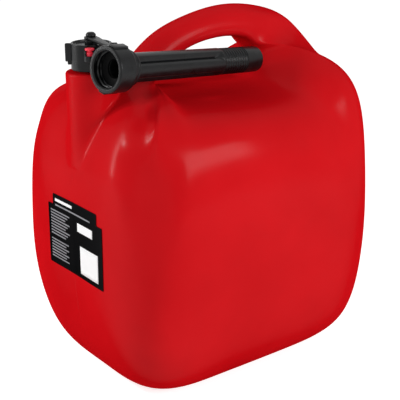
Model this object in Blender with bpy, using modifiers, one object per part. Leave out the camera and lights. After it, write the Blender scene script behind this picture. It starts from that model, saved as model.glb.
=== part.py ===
import math

import bmesh
import bpy
import numpy as np
from mathutils import Matrix, Vector

for item in list(bpy.data.objects):
    bpy.data.objects.remove(item, do_unlink=True)

# Sizes in metres, with the origin under the middle of the can
# Can body
bodyLength = 0.3115
bodyWidth = 0.2645
bodyHeight = 0.3145
wall = 0.0022
floorThickness = 0.0026
footDrop = 0.0006
# Handle, moulded in one with the body
handleRise = 0.061
handleThickness = 0.0305
handleWidth = 0.034
# Turret, neck and their thread
turretSetBack = 0.02835
turretRadius = 0.0252
turretFootRadius = 0.0252
turretRise = 0.011
turretDepth = 0.078
turretFillet = 0.0022
turretSpread = 0.0132
neckRadius = 0.0148
neckWall = 0.0026
neckHeight = 0.0197
neckLead = 0.0006
threadPitch = 0.004
threadHeight = 0.0011
threadFoot = 0.0016
threadCrest = 0.0008
threadStart = 0.0045
threadTurns = 1.5
# Screw cap
gap = 0.0003
threadGap = 0.0007
capRadius = 0.0194
capStandOff = 0.0018
capTopWall = 0.0024
capRim = 0.0022
capRimWidth = 0.0026
capEdge = 0.0009
capThreadTurns = 0.9
sealThickness = 0.0021
sealBore = 0.0096
# Grip lugs, the same on the cap and on the nut
lugCount = 2
lugWidth = 0.0054
lugEdge = 0.0009
capLugProud = 0.0052
capLugHeight = 0.0168
capLugBearing = 147.0
nutLugProud = 0.0015
nutLugBearing = -75.0
# Knob that carries the strap in the middle of the cap
knobRadius = 0.0048
knobHeight = 0.004
knobDomeShare = 0.55
knobStem = 0.004
knobShoulder = 0.0061
knobSnap = 0.0056
knobSnapHeight = 0.0018
# Red lock pin in its housing on the side of the cap, its head resting on the housing
lockBearing = 235.0
lockOffset = 0.0222
lockHeadRadius = 0.0044
lockHeadHeight = 0.002
lockRadius = 0.0034
lockWaist = 0.0025
lockWaistHeight = 0.0012
lockHeight = 0.0056
lockDrop = 0.0018
lockWindow = 0.0056
housingRadius = 0.0052
housingHeight = 0.0105
# Strap: its eyelet lies above the rim of the cap, and its arm falls from there to the ring round the spout
strapRise = 0.0023
strapDrop = 0.0042
strapReach = 0.0568
strapBearing = -90.7
strapThickness = 0.0028
strapWidth = 0.0105
eyeletRadius = 0.0064
strapRingWidth = 0.0052
strapRingWall = 0.0032
armPast = 0.004
# Spout, measured along its own axis from the mouth of its nut; its tip lies at a share of the half length
spoutYaw = 9.6
spoutDip = 5.2
nutRadius = 0.0212
nutLength = 0.02
nutRearWall = 0.0034
nutEdge = 0.0014
tubeRadius = 0.0135
tubeWall = 0.0047
tipShare = 0.3281
spigotLength = 0.018
spigotWall = 0.0016
flangeThickness = 0.003
washerThickness = 0.0021
collarThickness = 0.003
collarProud = 0.003
fluteCount = 4
fluteBearing = 57.0
fluteRadius = 0.0045
fluteDepth = 0.003
fluteMargin = 0.0026
nozzleLength = 0.0575
nozzleRadius = 0.0132
nozzleTipRadius = 0.0128
ribCount = 9
ribPitch = 0.0036
ribHeight = 0.0006
ribLead = 0.0015
# Front label
labelWidth = 0.101
labelHeight = 0.078
labelTopWidth = 0.082
labelTopHeight = 0.014
labelMiddle = 0.159
labelOffset = -0.004
labelThickness = 0.0003
labelClearance = 0.0005
# How far a cutter runs past what it cuts, and how near two points count as one
overrun = 0.002
mergeDistance = 0.00001
# Sides of a turned piece, and the share of the smooth surface's faces that is kept
turnSteps = 32
smallSteps = 22
fluteSteps = 16
bodyFaceShare = 0.6
cavityFaceShare = 0.85

# Shape of the body, as powers of its rounded box
lengthPower = 6.6
heightPower = 2.83
blendPower = 0.906
widthPower = 4.27

# Arches of the handle: outer point as shares of the half length and of the rise, lean of the
# section in degrees, then its thickness and width as shares of the handle's own
archShares = {
    "crown": (0.206, 1.0, -17.4, 1.10, 1.0),
    "crownFront": (-0.154, 0.869, 19.3, 0.99, 1.0),
    "armFront": (-0.386, 0.623, 35.8, 1.01, 1.03),
    "rootFront": (-0.553, 0.262, 64.3, 0.985, 1.235),
    "rootRear": (0.823, 0.525, -79.8, 2.40, 1.41),
    "crownRear": (0.617, 0.852, -62.1, 1.82, 1.147),
}

# Rings of the body from the edge of the hand opening to the outline on the middle plane, as
# shares of the half length, half width and height; the number after each ring is how many of
# its points lie where they are written, and the others are cast on to the rounded box
ringShares = [
    ([(-0.424, 0, 0.994), (-0.456, 0.144, 0.992), (-0.501, 0.234, 0.99), (-0.552, 0.265, 0.989),
      (-0.591, 0.242, 0.989), (-0.623, 0.189, 0.99), (-0.642, 0.106, 0.992), (-0.648, 0, 0.994)], 8),
    ([(-0.437, 0, 0.989), (-0.482, 0.212, 0.986), (-0.584, 0.431, 0.976), (-0.693, 0.605, 0.925),
      (-0.783, 0.62, 0.903), (-0.848, 0.469, 0.909), (-0.88, 0.25, 0.925), (-0.892, 0, 0.932)], 3),
    ([(-0.43, 0, 0.985), (-0.491, 0.234, 0.983), (-0.591, 0.514, 0.967), (-0.706, 0.726, 0.871),
      (-0.841, 0.741, 0.773), (-0.944, 0.56, 0.75), (-0.982, 0.287, 0.744), (-0.989, 0, 0.744)], 3),
    ([(-0.417, 0, 0.981), (-0.475, 0.227, 0.979), (-0.552, 0.529, 0.963), (-0.616, 0.802, 0.878),
      (-0.732, 0.938, 0.7), (-0.899, 0.802, 0.534), (-0.982, 0.454, 0.496), (-0.995, 0, 0.496)], 3),
    ([(-0.366, 0, 0.963), (-0.417, 0.204, 0.944), (-0.475, 0.514, 0.928), (-0.52, 0.809, 0.843),
      (-0.629, 0.968, 0.604), (-0.835, 0.877, 0.35), (-0.963, 0.499, 0.267), (-0.982, 0, 0.267)], 3),
    ([(-0.257, 0, 0.957), (-0.283, 0.219, 0.938), (-0.321, 0.544, 0.922), (-0.36, 0.847, 0.833),
      (-0.437, 0.991, 0.541), (-0.6, 0.938, 0.18), (-0.76, 0.575, 0.075), (-0.82, 0, 0.052)], 3),
    ([(-0.077, 0, 0.954), (-0.083, 0.227, 0.936), (-0.09, 0.56, 0.921), (-0.103, 0.862, 0.827),
      (-0.135, 0.998, 0.525), (-0.22, 0.938, 0.146), (-0.32, 0.56, 0.01), (-0.38, 0, 0)], 3),
    ([(0.128, 0, 0.955), (0.128, 0.227, 0.936), (0.128, 0.56, 0.921), (0.154, 0.862, 0.827),
      (0.16, 0.998, 0.525), (0.23, 0.938, 0.146), (0.325, 0.56, 0.01), (0.385, 0, 0)], 3),
    ([(0.27, 0, 0.96), (0.289, 0.212, 0.943), (0.334, 0.529, 0.928), (0.385, 0.847, 0.833),
      (0.47, 0.991, 0.55), (0.615, 0.938, 0.18), (0.76, 0.575, 0.075), (0.82, 0, 0.052)], 3),
    ([(0.321, 0, 0.973), (0.36, 0.197, 0.96), (0.449, 0.499, 0.948), (0.539, 0.786, 0.884),
      (0.693, 0.953, 0.62), (0.86, 0.877, 0.356), (0.963, 0.499, 0.273), (0.982, 0, 0.273)], 4),
    ([(0.347, 0, 0.989), (0.411, 0.181, 0.989), (0.552, 0.469, 0.989), (0.681, 0.749, 0.941),
      (0.809, 0.877, 0.738), (0.925, 0.786, 0.525), (0.982, 0.423, 0.496), (0.995, 0, 0.496)], 4),
    ([(0.366, 0, 1.011), (0.462, 0.181, 1.017), (0.629, 0.408, 1.027), (0.783, 0.65, 0.983),
      (0.899, 0.718, 0.865), (0.97, 0.529, 0.763), (0.995, 0.257, 0.75), (0.995, 0, 0.75)], 5),
    ([(0.372, 0, 1.033), (0.449, 0.136, 1.043), (0.591, 0.272, 1.059), (0.745, 0.423, 1.037),
      (0.867, 0.454, 0.992), (0.925, 0.348, 0.973), (0.95, 0.181, 0.963), (0.957, 0, 0.96)], 8),
]

# Rows of the cage along the crest at the front of the hand opening
crestRows = np.array([5, 6, 7])

# Places worked out from the sizes
halfLength = bodyLength / 2
halfWidth = bodyWidth / 2
halfHeight = bodyHeight / 2
neckX = turretSetBack - halfLength
turretTop = bodyHeight + turretRise
neckTop = turretTop + neckHeight
neckBore = neckRadius - neckWall
capBore = neckRadius + threadHeight + threadGap
capBottom = turretTop + capStandOff
capCeiling = neckTop + sealThickness + 2 * gap
capTop = capCeiling + capTopWall
capRimTop = capTop + capRim
strapBottom = capRimTop + gap + strapRise
strapTop = strapBottom + strapThickness
neckAxis = Vector((neckX, 0, 0))
ringStart = nutLength + gap
ringMiddle = ringStart + strapRingWidth / 2
ringBore = tubeRadius + gap
ringRadius = ringBore + strapRingWall
ringBearing = math.radians(strapBearing)
ringCentre = Vector((neckX + strapReach * math.cos(ringBearing), strapReach * math.sin(ringBearing),
                     strapTop - strapDrop - ringRadius))
spoutAim = Vector((math.cos(math.radians(spoutDip)) * math.cos(math.radians(spoutYaw)),
                   math.cos(math.radians(spoutDip)) * math.sin(math.radians(spoutYaw)),
                   -math.sin(math.radians(spoutDip))))
mouthCentre = ringCentre - spoutAim * ringMiddle
flangeStart = nutLength - nutRearWall - gap - flangeThickness
flangeRadius = capBore - gap
washerStart = flangeStart - gap - washerThickness
collarStart = ringStart + strapRingWidth + gap
tubeStart = collarStart + collarThickness
nozzleEnd = (tipShare * halfLength - mouthCentre.x) / spoutAim.x
nozzleStart = nozzleEnd - nozzleLength
tubeEnd = nozzleStart - gap
spigotEnd = tubeEnd + spigotLength
tubeBore = tubeRadius - tubeWall
spigotRadius = tubeBore + spigotWall

partCollection = bpy.data.collections.new("plastic_jerrycan")
cutterCollection = bpy.data.collections.new("cutters")
bpy.context.scene.collection.children.link(partCollection)
bpy.context.scene.collection.children.link(cutterCollection)


def makeMaterial(name, colour, roughness):
    material = bpy.data.materials.new(name)
    material.use_nodes = True
    shader = material.node_tree.nodes["Principled BSDF"]
    shader.inputs["Base Color"].default_value = (*colour, 1)
    shader.inputs["Roughness"].default_value = roughness
    shader.inputs["Metallic"].default_value = 0
    return material


redPlastic = makeMaterial("red_polyethylene", (0.55, 0.012, 0.012), 0.32)
blackPlastic = makeMaterial("black_polyethylene", (0.016, 0.017, 0.018), 0.42)
lockPlastic = makeMaterial("bright_red_plastic", (0.72, 0.012, 0.03), 0.35)
sealRubber = makeMaterial("seal_rubber", (0.03, 0.03, 0.03), 0.7)
labelPaper = makeMaterial("printed_label", (0.012, 0.012, 0.013), 0.3)


def addPart(name, mesh, material, parent=None, collection=partCollection):
    part = bpy.data.objects.new(name, mesh)
    collection.objects.link(part)
    if material:
        part.data.materials.clear()
        part.data.materials.append(material)
    part.parent = parent
    return part


def addCutter(name, mesh, parent=None):
    cutter = addPart(name, mesh, None, parent, cutterCollection)
    cutter.hide_render = True
    cutter.display_type = 'WIRE'
    return cutter


def addEmpty(name, matrix):
    empty = bpy.data.objects.new(name, None)
    partCollection.objects.link(empty)
    empty.matrix_world = matrix
    return empty


def profileMesh(name, points, closed=False):
    count = len(points)
    edges = [(i, i + 1) for i in range(count - 1)]
    if closed:
        edges.append((count - 1, 0))
    mesh = bpy.data.meshes.new(name)
    mesh.from_pydata([(r, 0, z) for r, z in points], edges, [])
    return mesh


def turn(part, steps, angle=2 * math.pi, rise=0):
    screw = part.modifiers.new("Turn", 'SCREW')
    screw.axis = 'Z'
    screw.angle = angle
    screw.steps = steps
    screw.render_steps = steps
    screw.screw_offset = rise
    screw.use_merge_vertices = rise == 0
    screw.merge_threshold = mergeDistance
    screw.use_smooth_shade = True
    return part


def cut(part, cutter, operation='DIFFERENCE'):
    boolean = part.modifiers.new(operation.title() + " " + cutter.name, 'BOOLEAN')
    boolean.operation = operation
    boolean.object = cutter
    boolean.solver = 'EXACT'


def evaluatedMesh(part, name):
    bpy.context.view_layer.update()
    graph = bpy.context.evaluated_depsgraph_get()
    return bpy.data.meshes.new_from_object(part.evaluated_get(graph), depsgraph=graph)


def boxMesh(name, size, centre):
    box = bmesh.new()
    bmesh.ops.create_cube(box, size=1)
    bmesh.ops.scale(box, vec=size, verts=box.verts)
    bmesh.ops.translate(box, vec=centre, verts=box.verts)
    mesh = bpy.data.meshes.new(name)
    box.to_mesh(mesh)
    box.free()
    return mesh


def bevel(part, width, segments=2, angle=40):
    rounding = part.modifiers.new("Edges", 'BEVEL')
    rounding.width = width
    rounding.segments = segments
    rounding.limit_method = 'ANGLE'
    rounding.angle_limit = math.radians(angle)


def threadRidge(name, footRadius, crestRadius, start, turns, parent):
    """A trapezoid carried up a helix, with its two ends closed."""
    profile = [(crestRadius, start + threadCrest / 2), (crestRadius, start - threadCrest / 2),
               (footRadius, start - threadFoot / 2), (footRadius, start + threadFoot / 2)]
    if footRadius > crestRadius:
        profile.reverse()
    guide = addCutter(name + "_guide", profileMesh(name, profile, True), parent)
    turn(guide, round(turnSteps * turns), 2 * math.pi * turns, threadPitch * turns)
    ridge = bmesh.new()
    ridge.from_mesh(evaluatedMesh(guide, name))
    ends = [edge for edge in ridge.edges if edge.is_boundary]
    bmesh.ops.holes_fill(ridge, edges=ends, sides=4)
    bmesh.ops.recalc_face_normals(ridge, faces=ridge.faces)
    mesh = bpy.data.meshes.new(name)
    ridge.to_mesh(mesh)
    ridge.free()
    bpy.data.objects.remove(guide, do_unlink=True)
    return addCutter(name, mesh, parent)


# Cage of the can body
def castOnForm(x, y, z):
    """The point where a ray from the middle of the body meets its rounded box."""
    near, far = 0.4, 2.5
    for _ in range(40):
        reach = (near + far) / 2
        level = (abs(x * reach) ** lengthPower + abs(z * reach) ** heightPower) ** blendPower
        if level + abs(y * reach) ** widthPower < 1:
            near = reach
        else:
            far = reach
    drop = halfHeight if z > 0 else halfHeight + footDrop
    return (x * near * halfLength, y * near * halfWidth, halfHeight + z * near * drop)


def archPoints(outerShare, riseShare, lean, thicknessShare, widthShare):
    """Half an oval section, from the inner side of the handle to its outer side."""
    outerX = outerShare * halfLength
    outerZ = bodyHeight + riseShare * handleRise
    depth = thicknessShare * handleThickness
    points = []
    for step in range(8):
        turnAngle = math.pi * step / 7
        inward = depth * (1 + math.cos(turnAngle)) / 2
        side = widthShare * handleWidth / 2 * abs(math.sin(turnAngle)) ** 0.9
        points.append((outerX + inward * math.sin(math.radians(lean)), side if 0 < step < 7 else 0,
                       outerZ - inward * math.cos(math.radians(lean))))
    return points


def ringPoints(shares, deckCount):
    points = [(x * halfLength, y * halfWidth, z * bodyHeight) for x, y, z in shares[:deckCount]]
    return points + [castOnForm(x, y, 2 * z - 1) for x, y, z in shares[deckCount:]]


def smoothed(cage):
    """Where a smooth surface over a closed grid of points passes each of them."""
    along = (np.roll(cage, 1, 0) + 4 * cage + np.roll(cage, -1, 0)) / 6
    return (np.roll(along, 1, 1) + 4 * along + np.roll(along, -1, 1)) / 6


def bodyCage():
    rows = [archPoints(*archShares[name]) for name in ("crown", "crownFront", "armFront", "rootFront")]
    rows += [ringPoints(shares, deckCount) for shares, deckCount in ringShares]
    rows += [archPoints(*archShares[name]) for name in ("rootRear", "crownRear")]
    half = np.array(rows)
    mirrored = half[:, 1:-1][:, ::-1] * np.array([1, -1, 1])
    target = np.concatenate([half, mirrored], 1)
    cage = target.copy()
    for _ in range(2):
        cage = cage + target - smoothed(cage)
    return cage


def insetCage(cage, depth):
    """The cage moved inward along its own normals, and rounded off behind the crest at the front of
    the hand opening, so that the wall keeps its thickness there."""
    along = np.roll(cage, -1, 0) - np.roll(cage, 1, 0)
    across = np.roll(cage, -1, 1) - np.roll(cage, 1, 1)
    normal = np.cross(along, across)
    normal /= np.linalg.norm(normal, axis=2, keepdims=True)
    inset = cage - depth * normal
    crest = inset[crestRows]
    inset[crestRows] = (inset[crestRows - 1] + 2 * crest + inset[crestRows + 1]) / 4
    return inset


def cageMesh(name, cage):
    """Half the cage, open on the middle plane, ready to be mirrored."""
    half = cage[:, :8].copy()
    half[:, 0, 1] = 0
    half[:, -1, 1] = 0
    half[:, :, 1] *= -1
    rowCount, columnCount = half.shape[:2]
    faces = []
    for row in range(rowCount):
        following = (row + 1) % rowCount
        for column in range(columnCount - 1):
            faces.append((row * columnCount + column, row * columnCount + column + 1,
                          following * columnCount + column + 1, following * columnCount + column))
    mesh = bpy.data.meshes.new(name)
    mesh.from_pydata(half.reshape(-1, 3).tolist(), [], faces)
    return mesh


def smoothCage(part, levels, keptShare):
    mirror = part.modifiers.new("Other side", 'MIRROR')
    mirror.use_axis = (False, True, False)
    mirror.merge_threshold = mergeDistance
    surface = part.modifiers.new("Smooth", 'SUBSURF')
    surface.levels = levels
    surface.render_levels = levels
    thinning = part.modifiers.new("Fewer faces where it is flat", 'DECIMATE')
    thinning.ratio = keptShare
    thinning.use_symmetry = True
    thinning.symmetry_axis = 'Y'


def makeBody():
    cage = bodyCage()
    body = addPart("can_body", cageMesh("can_body", cage), redPlastic)
    smoothCage(body, 2, bodyFaceShare)
    ground = addCutter("ground", boxMesh("ground", (bodyLength, bodyWidth, bodyHeight), (0, 0, -halfHeight)))
    cut(body, ground)
    turretAxis = addEmpty("turret_axis", Matrix.Translation(neckAxis))
    fillet = [(turretRadius - turretFillet * (1 - math.cos(a)), turretTop - turretFillet * (1 - math.sin(a)))
              for a in (math.pi / 2, math.pi / 3, math.pi / 6, 0)]
    turretFoot = bodyHeight - turretDepth
    turret = addCutter("turret", profileMesh("turret", [
        (0, neckTop), (neckRadius - neckLead, neckTop), (neckRadius, neckTop - neckLead),
        (neckRadius, turretTop), *fillet, (turretRadius, bodyHeight - turretSpread),
        (turretFootRadius, turretFoot), (0, turretFoot)]), turretAxis)
    turn(turret, turnSteps)
    cut(body, turret, 'UNION')
    ridge = threadRidge("neck_thread", neckRadius - overrun / 2, neckRadius + threadHeight,
                        turretTop + threadStart, threadTurns, turretAxis)
    cut(body, ridge, 'UNION')
    cavity = addCutter("cavity", cageMesh("cavity", insetCage(cage, wall)))
    smoothCage(cavity, 1, cavityFaceShare)
    floor = addCutter("floor", boxMesh("floor", (bodyLength, bodyWidth, bodyHeight),
                                       (0, 0, floorThickness - halfHeight)))
    cut(cavity, floor)
    cut(body, cavity)
    bore = addCutter("neck_bore", profileMesh("neck_bore", [
        (0, neckTop + overrun), (neckBore, neckTop + overrun), (neckBore, turretTop - wall),
        (turretRadius - wall, turretTop - wall * 2), (turretFootRadius - wall, turretFoot + wall),
        (0, turretFoot + wall)]), turretAxis)
    turn(bore, turnSteps)
    cut(body, bore)
    return body


def addLugs(part, radius, proud, bottom, height, firstBearing, parent):
    depth = proud * 2
    for index in range(lugCount):
        bearing = math.radians(firstBearing) + index * 2 * math.pi / lugCount
        place = Vector((math.cos(bearing) * radius, math.sin(bearing) * radius, 0))
        name = "%s_lug_%d" % (part.name, index + 1)
        lug = addCutter(name, boxMesh(name, (depth, lugWidth, height), (0, 0, bottom + height / 2)), parent)
        bevel(lug, lugEdge, 1)
        lug.location = place
        lug.rotation_euler = (0, 0, bearing)
        cut(part, lug, 'UNION')


def makeCap(liftAxis):
    cap = addPart("screw_cap", profileMesh("screw_cap", [
        (capRadius - capRimWidth, capTop), (capRadius - capRimWidth + capEdge / 2, capRimTop),
        (capRadius - capEdge, capRimTop), (capRadius, capRimTop - capEdge),
        (capRadius, capBottom + capEdge), (capRadius - capEdge, capBottom), (capBore, capBottom),
        (capBore, capCeiling), (knobStem + gap, capCeiling), (knobStem + gap, capTop)], True),
        blackPlastic, liftAxis)
    turn(cap, turnSteps)
    lockTurn = math.radians(lockBearing)
    lockPlace = Vector((math.cos(lockTurn), math.sin(lockTurn), 0)) * lockOffset
    lockFloor = capRimTop - lockDrop - lockHeight - lockHeadHeight - gap
    housingTop = capRimTop - lockDrop - lockHeadHeight - gap
    housing = addCutter("lock_housing", profileMesh("lock_housing", [
        (0, housingTop), (housingRadius - capEdge / 2, housingTop), (housingRadius, housingTop - capEdge / 2),
        (housingRadius, housingTop - housingHeight + capEdge),
        (housingRadius - capEdge, housingTop - housingHeight), (0, housingTop - housingHeight)]), liftAxis)
    housing.location = lockPlace
    turn(housing, smallSteps)
    cut(cap, housing, 'UNION')
    addLugs(cap, capRadius, capLugProud, capRimTop - capEdge - capLugHeight, capLugHeight, capLugBearing, liftAxis)
    inside = addCutter("cap_inside", profileMesh("cap_inside", [
        (0, capCeiling), (capBore, capCeiling), (capBore, capBottom - overrun), (0, capBottom - overrun)]),
        liftAxis)
    turn(inside, turnSteps)
    cut(cap, inside)
    ridge = threadRidge("cap_thread", capBore + overrun / 2, capBore - threadHeight,
                        turretTop + threadStart + threadPitch / 2, capThreadTurns, liftAxis)
    cut(cap, ridge, 'UNION')
    well = addCutter("lock_well", profileMesh("lock_well", [
        (0, capRimTop + overrun), (lockHeadRadius + gap, capRimTop + overrun),
        (lockHeadRadius + gap, housingTop), (lockRadius + gap, housingTop),
        (lockRadius + gap, lockFloor), (0, lockFloor)]), liftAxis)
    well.location = lockPlace
    turn(well, smallSteps)
    cut(cap, well)
    openSide = housingRadius * 2
    opening = lockHeight + overrun
    window = addCutter("lock_window", boxMesh("lock_window", (openSide, lockWindow, opening),
                                              (openSide / 2, 0, lockFloor + capEdge + opening / 2)),
                       liftAxis)
    window.location = lockPlace
    window.rotation_euler = (0, 0, lockTurn)
    cut(cap, window)
    seal = addPart("cap_seal", profileMesh("cap_seal", [
        (capBore - gap, capCeiling - gap), (capBore - gap, capCeiling - gap - sealThickness),
        (sealBore, capCeiling - gap - sealThickness), (sealBore, capCeiling - gap)], True), sealRubber, liftAxis)
    turn(seal, turnSteps)
    return lockPlace, lockFloor


def makeKnob(liftAxis):
    shoulderTop = strapBottom - gap
    domeBottom = strapTop + gap
    dome = [(knobRadius * math.sin(a), domeBottom + knobHeight * (1 - knobDomeShare * (1 - math.cos(a))))
            for a in (0, math.pi / 8, math.pi / 4, 3 * math.pi / 8, math.pi / 2)]
    snapTop = capCeiling - gap
    knob = addPart("swivel_knob", profileMesh("swivel_knob", [
        *dome, (knobRadius, domeBottom + capEdge), (knobRadius - capEdge, domeBottom), (knobStem, domeBottom),
        (knobStem, shoulderTop), (knobShoulder, shoulderTop), (knobShoulder, capTop + gap),
        (knobStem, capTop + gap), (knobStem, snapTop), (knobSnap, snapTop),
        (knobStem, snapTop - knobSnapHeight), (0, snapTop - knobSnapHeight)]), blackPlastic, liftAxis)
    turn(knob, smallSteps)


def makeLock(lockPlace, lockFloor, liftAxis):
    axis = addEmpty("lock_axis", Matrix.Translation(neckAxis + lockPlace))
    low = lockFloor + gap
    head = low + lockHeight
    high = head + lockHeadHeight
    foot = head - lockWaistHeight
    button = addPart("lock_button", profileMesh("lock_button", [
        (0, high), (lockHeadRadius - capEdge / 2, high), (lockHeadRadius, high - capEdge / 2),
        (lockHeadRadius, head), (lockWaist, head), (lockWaist, foot), (lockRadius, foot - capEdge),
        (lockRadius, low), (0, low)]), lockPlastic, axis)
    turn(button, smallSteps)


def outlineCurve(name, points, thickness):
    curve = bpy.data.curves.new(name, 'CURVE')
    curve.dimensions = '2D'
    curve.fill_mode = 'BOTH'
    curve.extrude = thickness / 2
    spline = curve.splines.new('POLY')
    spline.points.add(len(points) - 1)
    for point, (x, y) in zip(spline.points, points):
        point.co = (x, y, 0, 1)
    spline.use_cyclic_u = True
    return curve


def arcPoints(centre, radius, start, end, count):
    return [(centre[0] + radius * math.cos(start + (end - start) * i / count),
             centre[1] + radius * math.sin(start + (end - start) * i / count)) for i in range(count + 1)]


def makeStrap():
    """A flat arm from the eyelet on the knob to the ring round the neck of the spout."""
    strapAxis = addEmpty("strap_axis", Matrix.Translation(neckAxis + Vector((0, 0, (strapBottom + strapTop) / 2))))
    neckTurn = math.asin(strapWidth / 2 / eyeletRadius)
    points = arcPoints((0, 0), eyeletRadius, neckTurn, 2 * math.pi - neckTurn, 20)
    # The last stretch stands square to the spout, behind its nut, and is as wide as the ring
    squareTurn = math.radians(spoutYaw - 90 - strapBearing)
    forward = Vector((math.cos(squareTurn), math.sin(squareTurn)))
    along = Vector((-forward.y, forward.x))
    sideways = along * strapRingWidth / 2
    ringPlace = Vector((strapReach, 0)) + along * (ringRadius + gap) * math.tan(math.radians(spoutDip))
    bend = ringPlace - forward * (nutRadius + nutLugProud + capEdge)
    tip = ringPlace + forward * armPast
    points += [tuple(p) for p in (bend - sideways, tip - sideways, tip + sideways, bend + sideways)]
    guide = bpy.data.objects.new("strap_arm", outlineCurve("strap_arm", points, strapThickness))
    partCollection.objects.link(guide)
    mesh = evaluatedMesh(guide, "tether_strap")
    welded = bmesh.new()
    welded.from_mesh(mesh)
    bmesh.ops.remove_doubles(welded, verts=welded.verts, dist=mergeDistance)
    # The arm is folded where it leaves the eyelet, and falls evenly to the ring
    geometry = welded.verts[:] + welded.edges[:] + welded.faces[:]
    bmesh.ops.bisect_plane(welded, geom=geometry, dist=mergeDistance, plane_co=(eyeletRadius, 0, 0),
                           plane_no=(1, 0, 0))
    for vert in welded.verts:
        vert.co.z -= strapDrop * max(0, vert.co.x - eyeletRadius) / (strapReach - eyeletRadius)
    bmesh.ops.recalc_face_normals(welded, faces=welded.faces)
    welded.to_mesh(mesh)
    welded.free()
    strap = addPart("tether_strap", mesh, blackPlastic, strapAxis)
    strap.rotation_euler = (0, 0, ringBearing)
    bpy.data.objects.remove(guide, do_unlink=True)
    ring = addCutter("strap_ring", profileMesh("strap_ring", [
        (0, strapRingWidth / 2), (ringRadius - capEdge, strapRingWidth / 2),
        (ringRadius, strapRingWidth / 2 - capEdge), (ringRadius, capEdge - strapRingWidth / 2),
        (ringRadius - capEdge, -strapRingWidth / 2), (0, -strapRingWidth / 2)]), spoutAxis)
    ring.location = (0, 0, ringMiddle)
    turn(ring, turnSteps)
    cut(strap, ring, 'UNION')
    hole = addCutter("strap_ring_bore", profileMesh("strap_ring_bore", [
        (0, nutRadius), (ringBore, nutRadius), (ringBore, -nutRadius), (0, -nutRadius)]), spoutAxis)
    hole.location = (0, 0, ringMiddle)
    turn(hole, turnSteps)
    cut(strap, hole)
    eye = addCutter("strap_eye", profileMesh("strap_eye", [
        (0, overrun + strapThickness), (knobStem + gap, overrun + strapThickness),
        (knobStem + gap, -overrun - strapThickness), (0, -overrun - strapThickness)]), strapAxis)
    turn(eye, smallSteps)
    cut(strap, eye)


def makeNut():
    """The union nut that screws the spout on to the neck of the can."""
    nut = addPart("spout_nut", profileMesh("spout_nut", [
        (nutRadius - nutEdge, nutLength), (nutRadius, nutLength - nutEdge), (nutRadius, nutEdge),
        (nutRadius - nutEdge, 0), (capBore, 0), (capBore, nutLength - nutRearWall),
        (tubeRadius + gap, nutLength - nutRearWall), (tubeRadius + gap, nutLength)], True),
        blackPlastic, spoutAxis)
    turn(nut, turnSteps)
    addLugs(nut, nutRadius, nutLugProud, nutEdge, nutLength - nutEdge * 2, nutLugBearing, spoutAxis)
    inside = addCutter("nut_inside", profileMesh("nut_inside", [
        (0, nutLength - nutRearWall), (capBore, nutLength - nutRearWall), (capBore, -overrun), (0, -overrun)]),
        spoutAxis)
    turn(inside, turnSteps)
    cut(nut, inside)
    ridge = threadRidge("nut_thread", capBore + overrun / 2, capBore - threadHeight,
                        nutEdge * 2, threadTurns, spoutAxis)
    cut(nut, ridge, 'UNION')
    washer = addPart("spout_washer", profileMesh("spout_washer", [
        (flangeRadius, washerStart + washerThickness), (flangeRadius, washerStart),
        (tubeBore, washerStart), (tubeBore, washerStart + washerThickness)], True), sealRubber, spoutAxis)
    turn(washer, turnSteps)


def makeTube():
    edge = capEdge
    tube = addPart("spout_tube", profileMesh("spout_tube", [
        (tubeBore, spigotEnd), (spigotRadius - edge / 2, spigotEnd), (spigotRadius, spigotEnd - edge),
        (spigotRadius, tubeEnd), (tubeRadius - edge, tubeEnd), (tubeRadius, tubeEnd - edge),
        (tubeRadius, tubeStart), (tubeRadius + collarProud - edge, tubeStart),
        (tubeRadius + collarProud, tubeStart - edge), (tubeRadius + collarProud, collarStart),
        (tubeRadius, collarStart), (tubeRadius, flangeStart + flangeThickness),
        (flangeRadius, flangeStart + flangeThickness), (flangeRadius, flangeStart),
        (tubeBore, flangeStart)], True), blackPlastic, spoutAxis)
    turn(tube, turnSteps)
    fluteStart = tubeStart + fluteMargin
    fluteEnd = tubeEnd - fluteMargin
    cap = [(fluteRadius * math.sin(a), fluteRadius * math.cos(a)) for a in (0, math.pi / 6, math.pi / 3, math.pi / 2)]
    outline = [(r, fluteEnd - fluteRadius + z) for r, z in cap]
    outline += [(r, fluteStart + fluteRadius - z) for r, z in reversed(cap)]
    for index in range(fluteCount):
        name = "flute_%d" % (index + 1)
        flute = addCutter(name, profileMesh(name, outline), spoutAxis)
        bearing = math.radians(fluteBearing) + index * 2 * math.pi / fluteCount
        reach = tubeRadius + fluteRadius - fluteDepth
        flute.location = (reach * math.cos(bearing), reach * math.sin(bearing), 0)
        turn(flute, fluteSteps)
        cut(tube, flute)


def makeNozzle():
    """The ribbed tip pushed over the end of the spout tube."""
    ribs = []
    for index in range(ribCount):
        low = nozzleStart + ribLead + index * ribPitch
        ribs += [(nozzleRadius, low), (nozzleRadius - ribHeight, low + ribPitch / 2)]
    ribs.append((nozzleRadius, nozzleStart + ribLead + ribCount * ribPitch))
    bore = spigotRadius + gap
    shoulder = spigotEnd + gap
    edge = capEdge
    nozzle = addPart("spout_nozzle", profileMesh("spout_nozzle", [
        (tubeBore, nozzleEnd), (nozzleTipRadius - edge, nozzleEnd), (nozzleTipRadius, nozzleEnd - edge),
        *reversed(ribs), (nozzleRadius, nozzleStart), (bore, nozzleStart), (bore, shoulder),
        (tubeBore, shoulder)], True), blackPlastic, spoutAxis)
    turn(nozzle, turnSteps)


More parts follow.
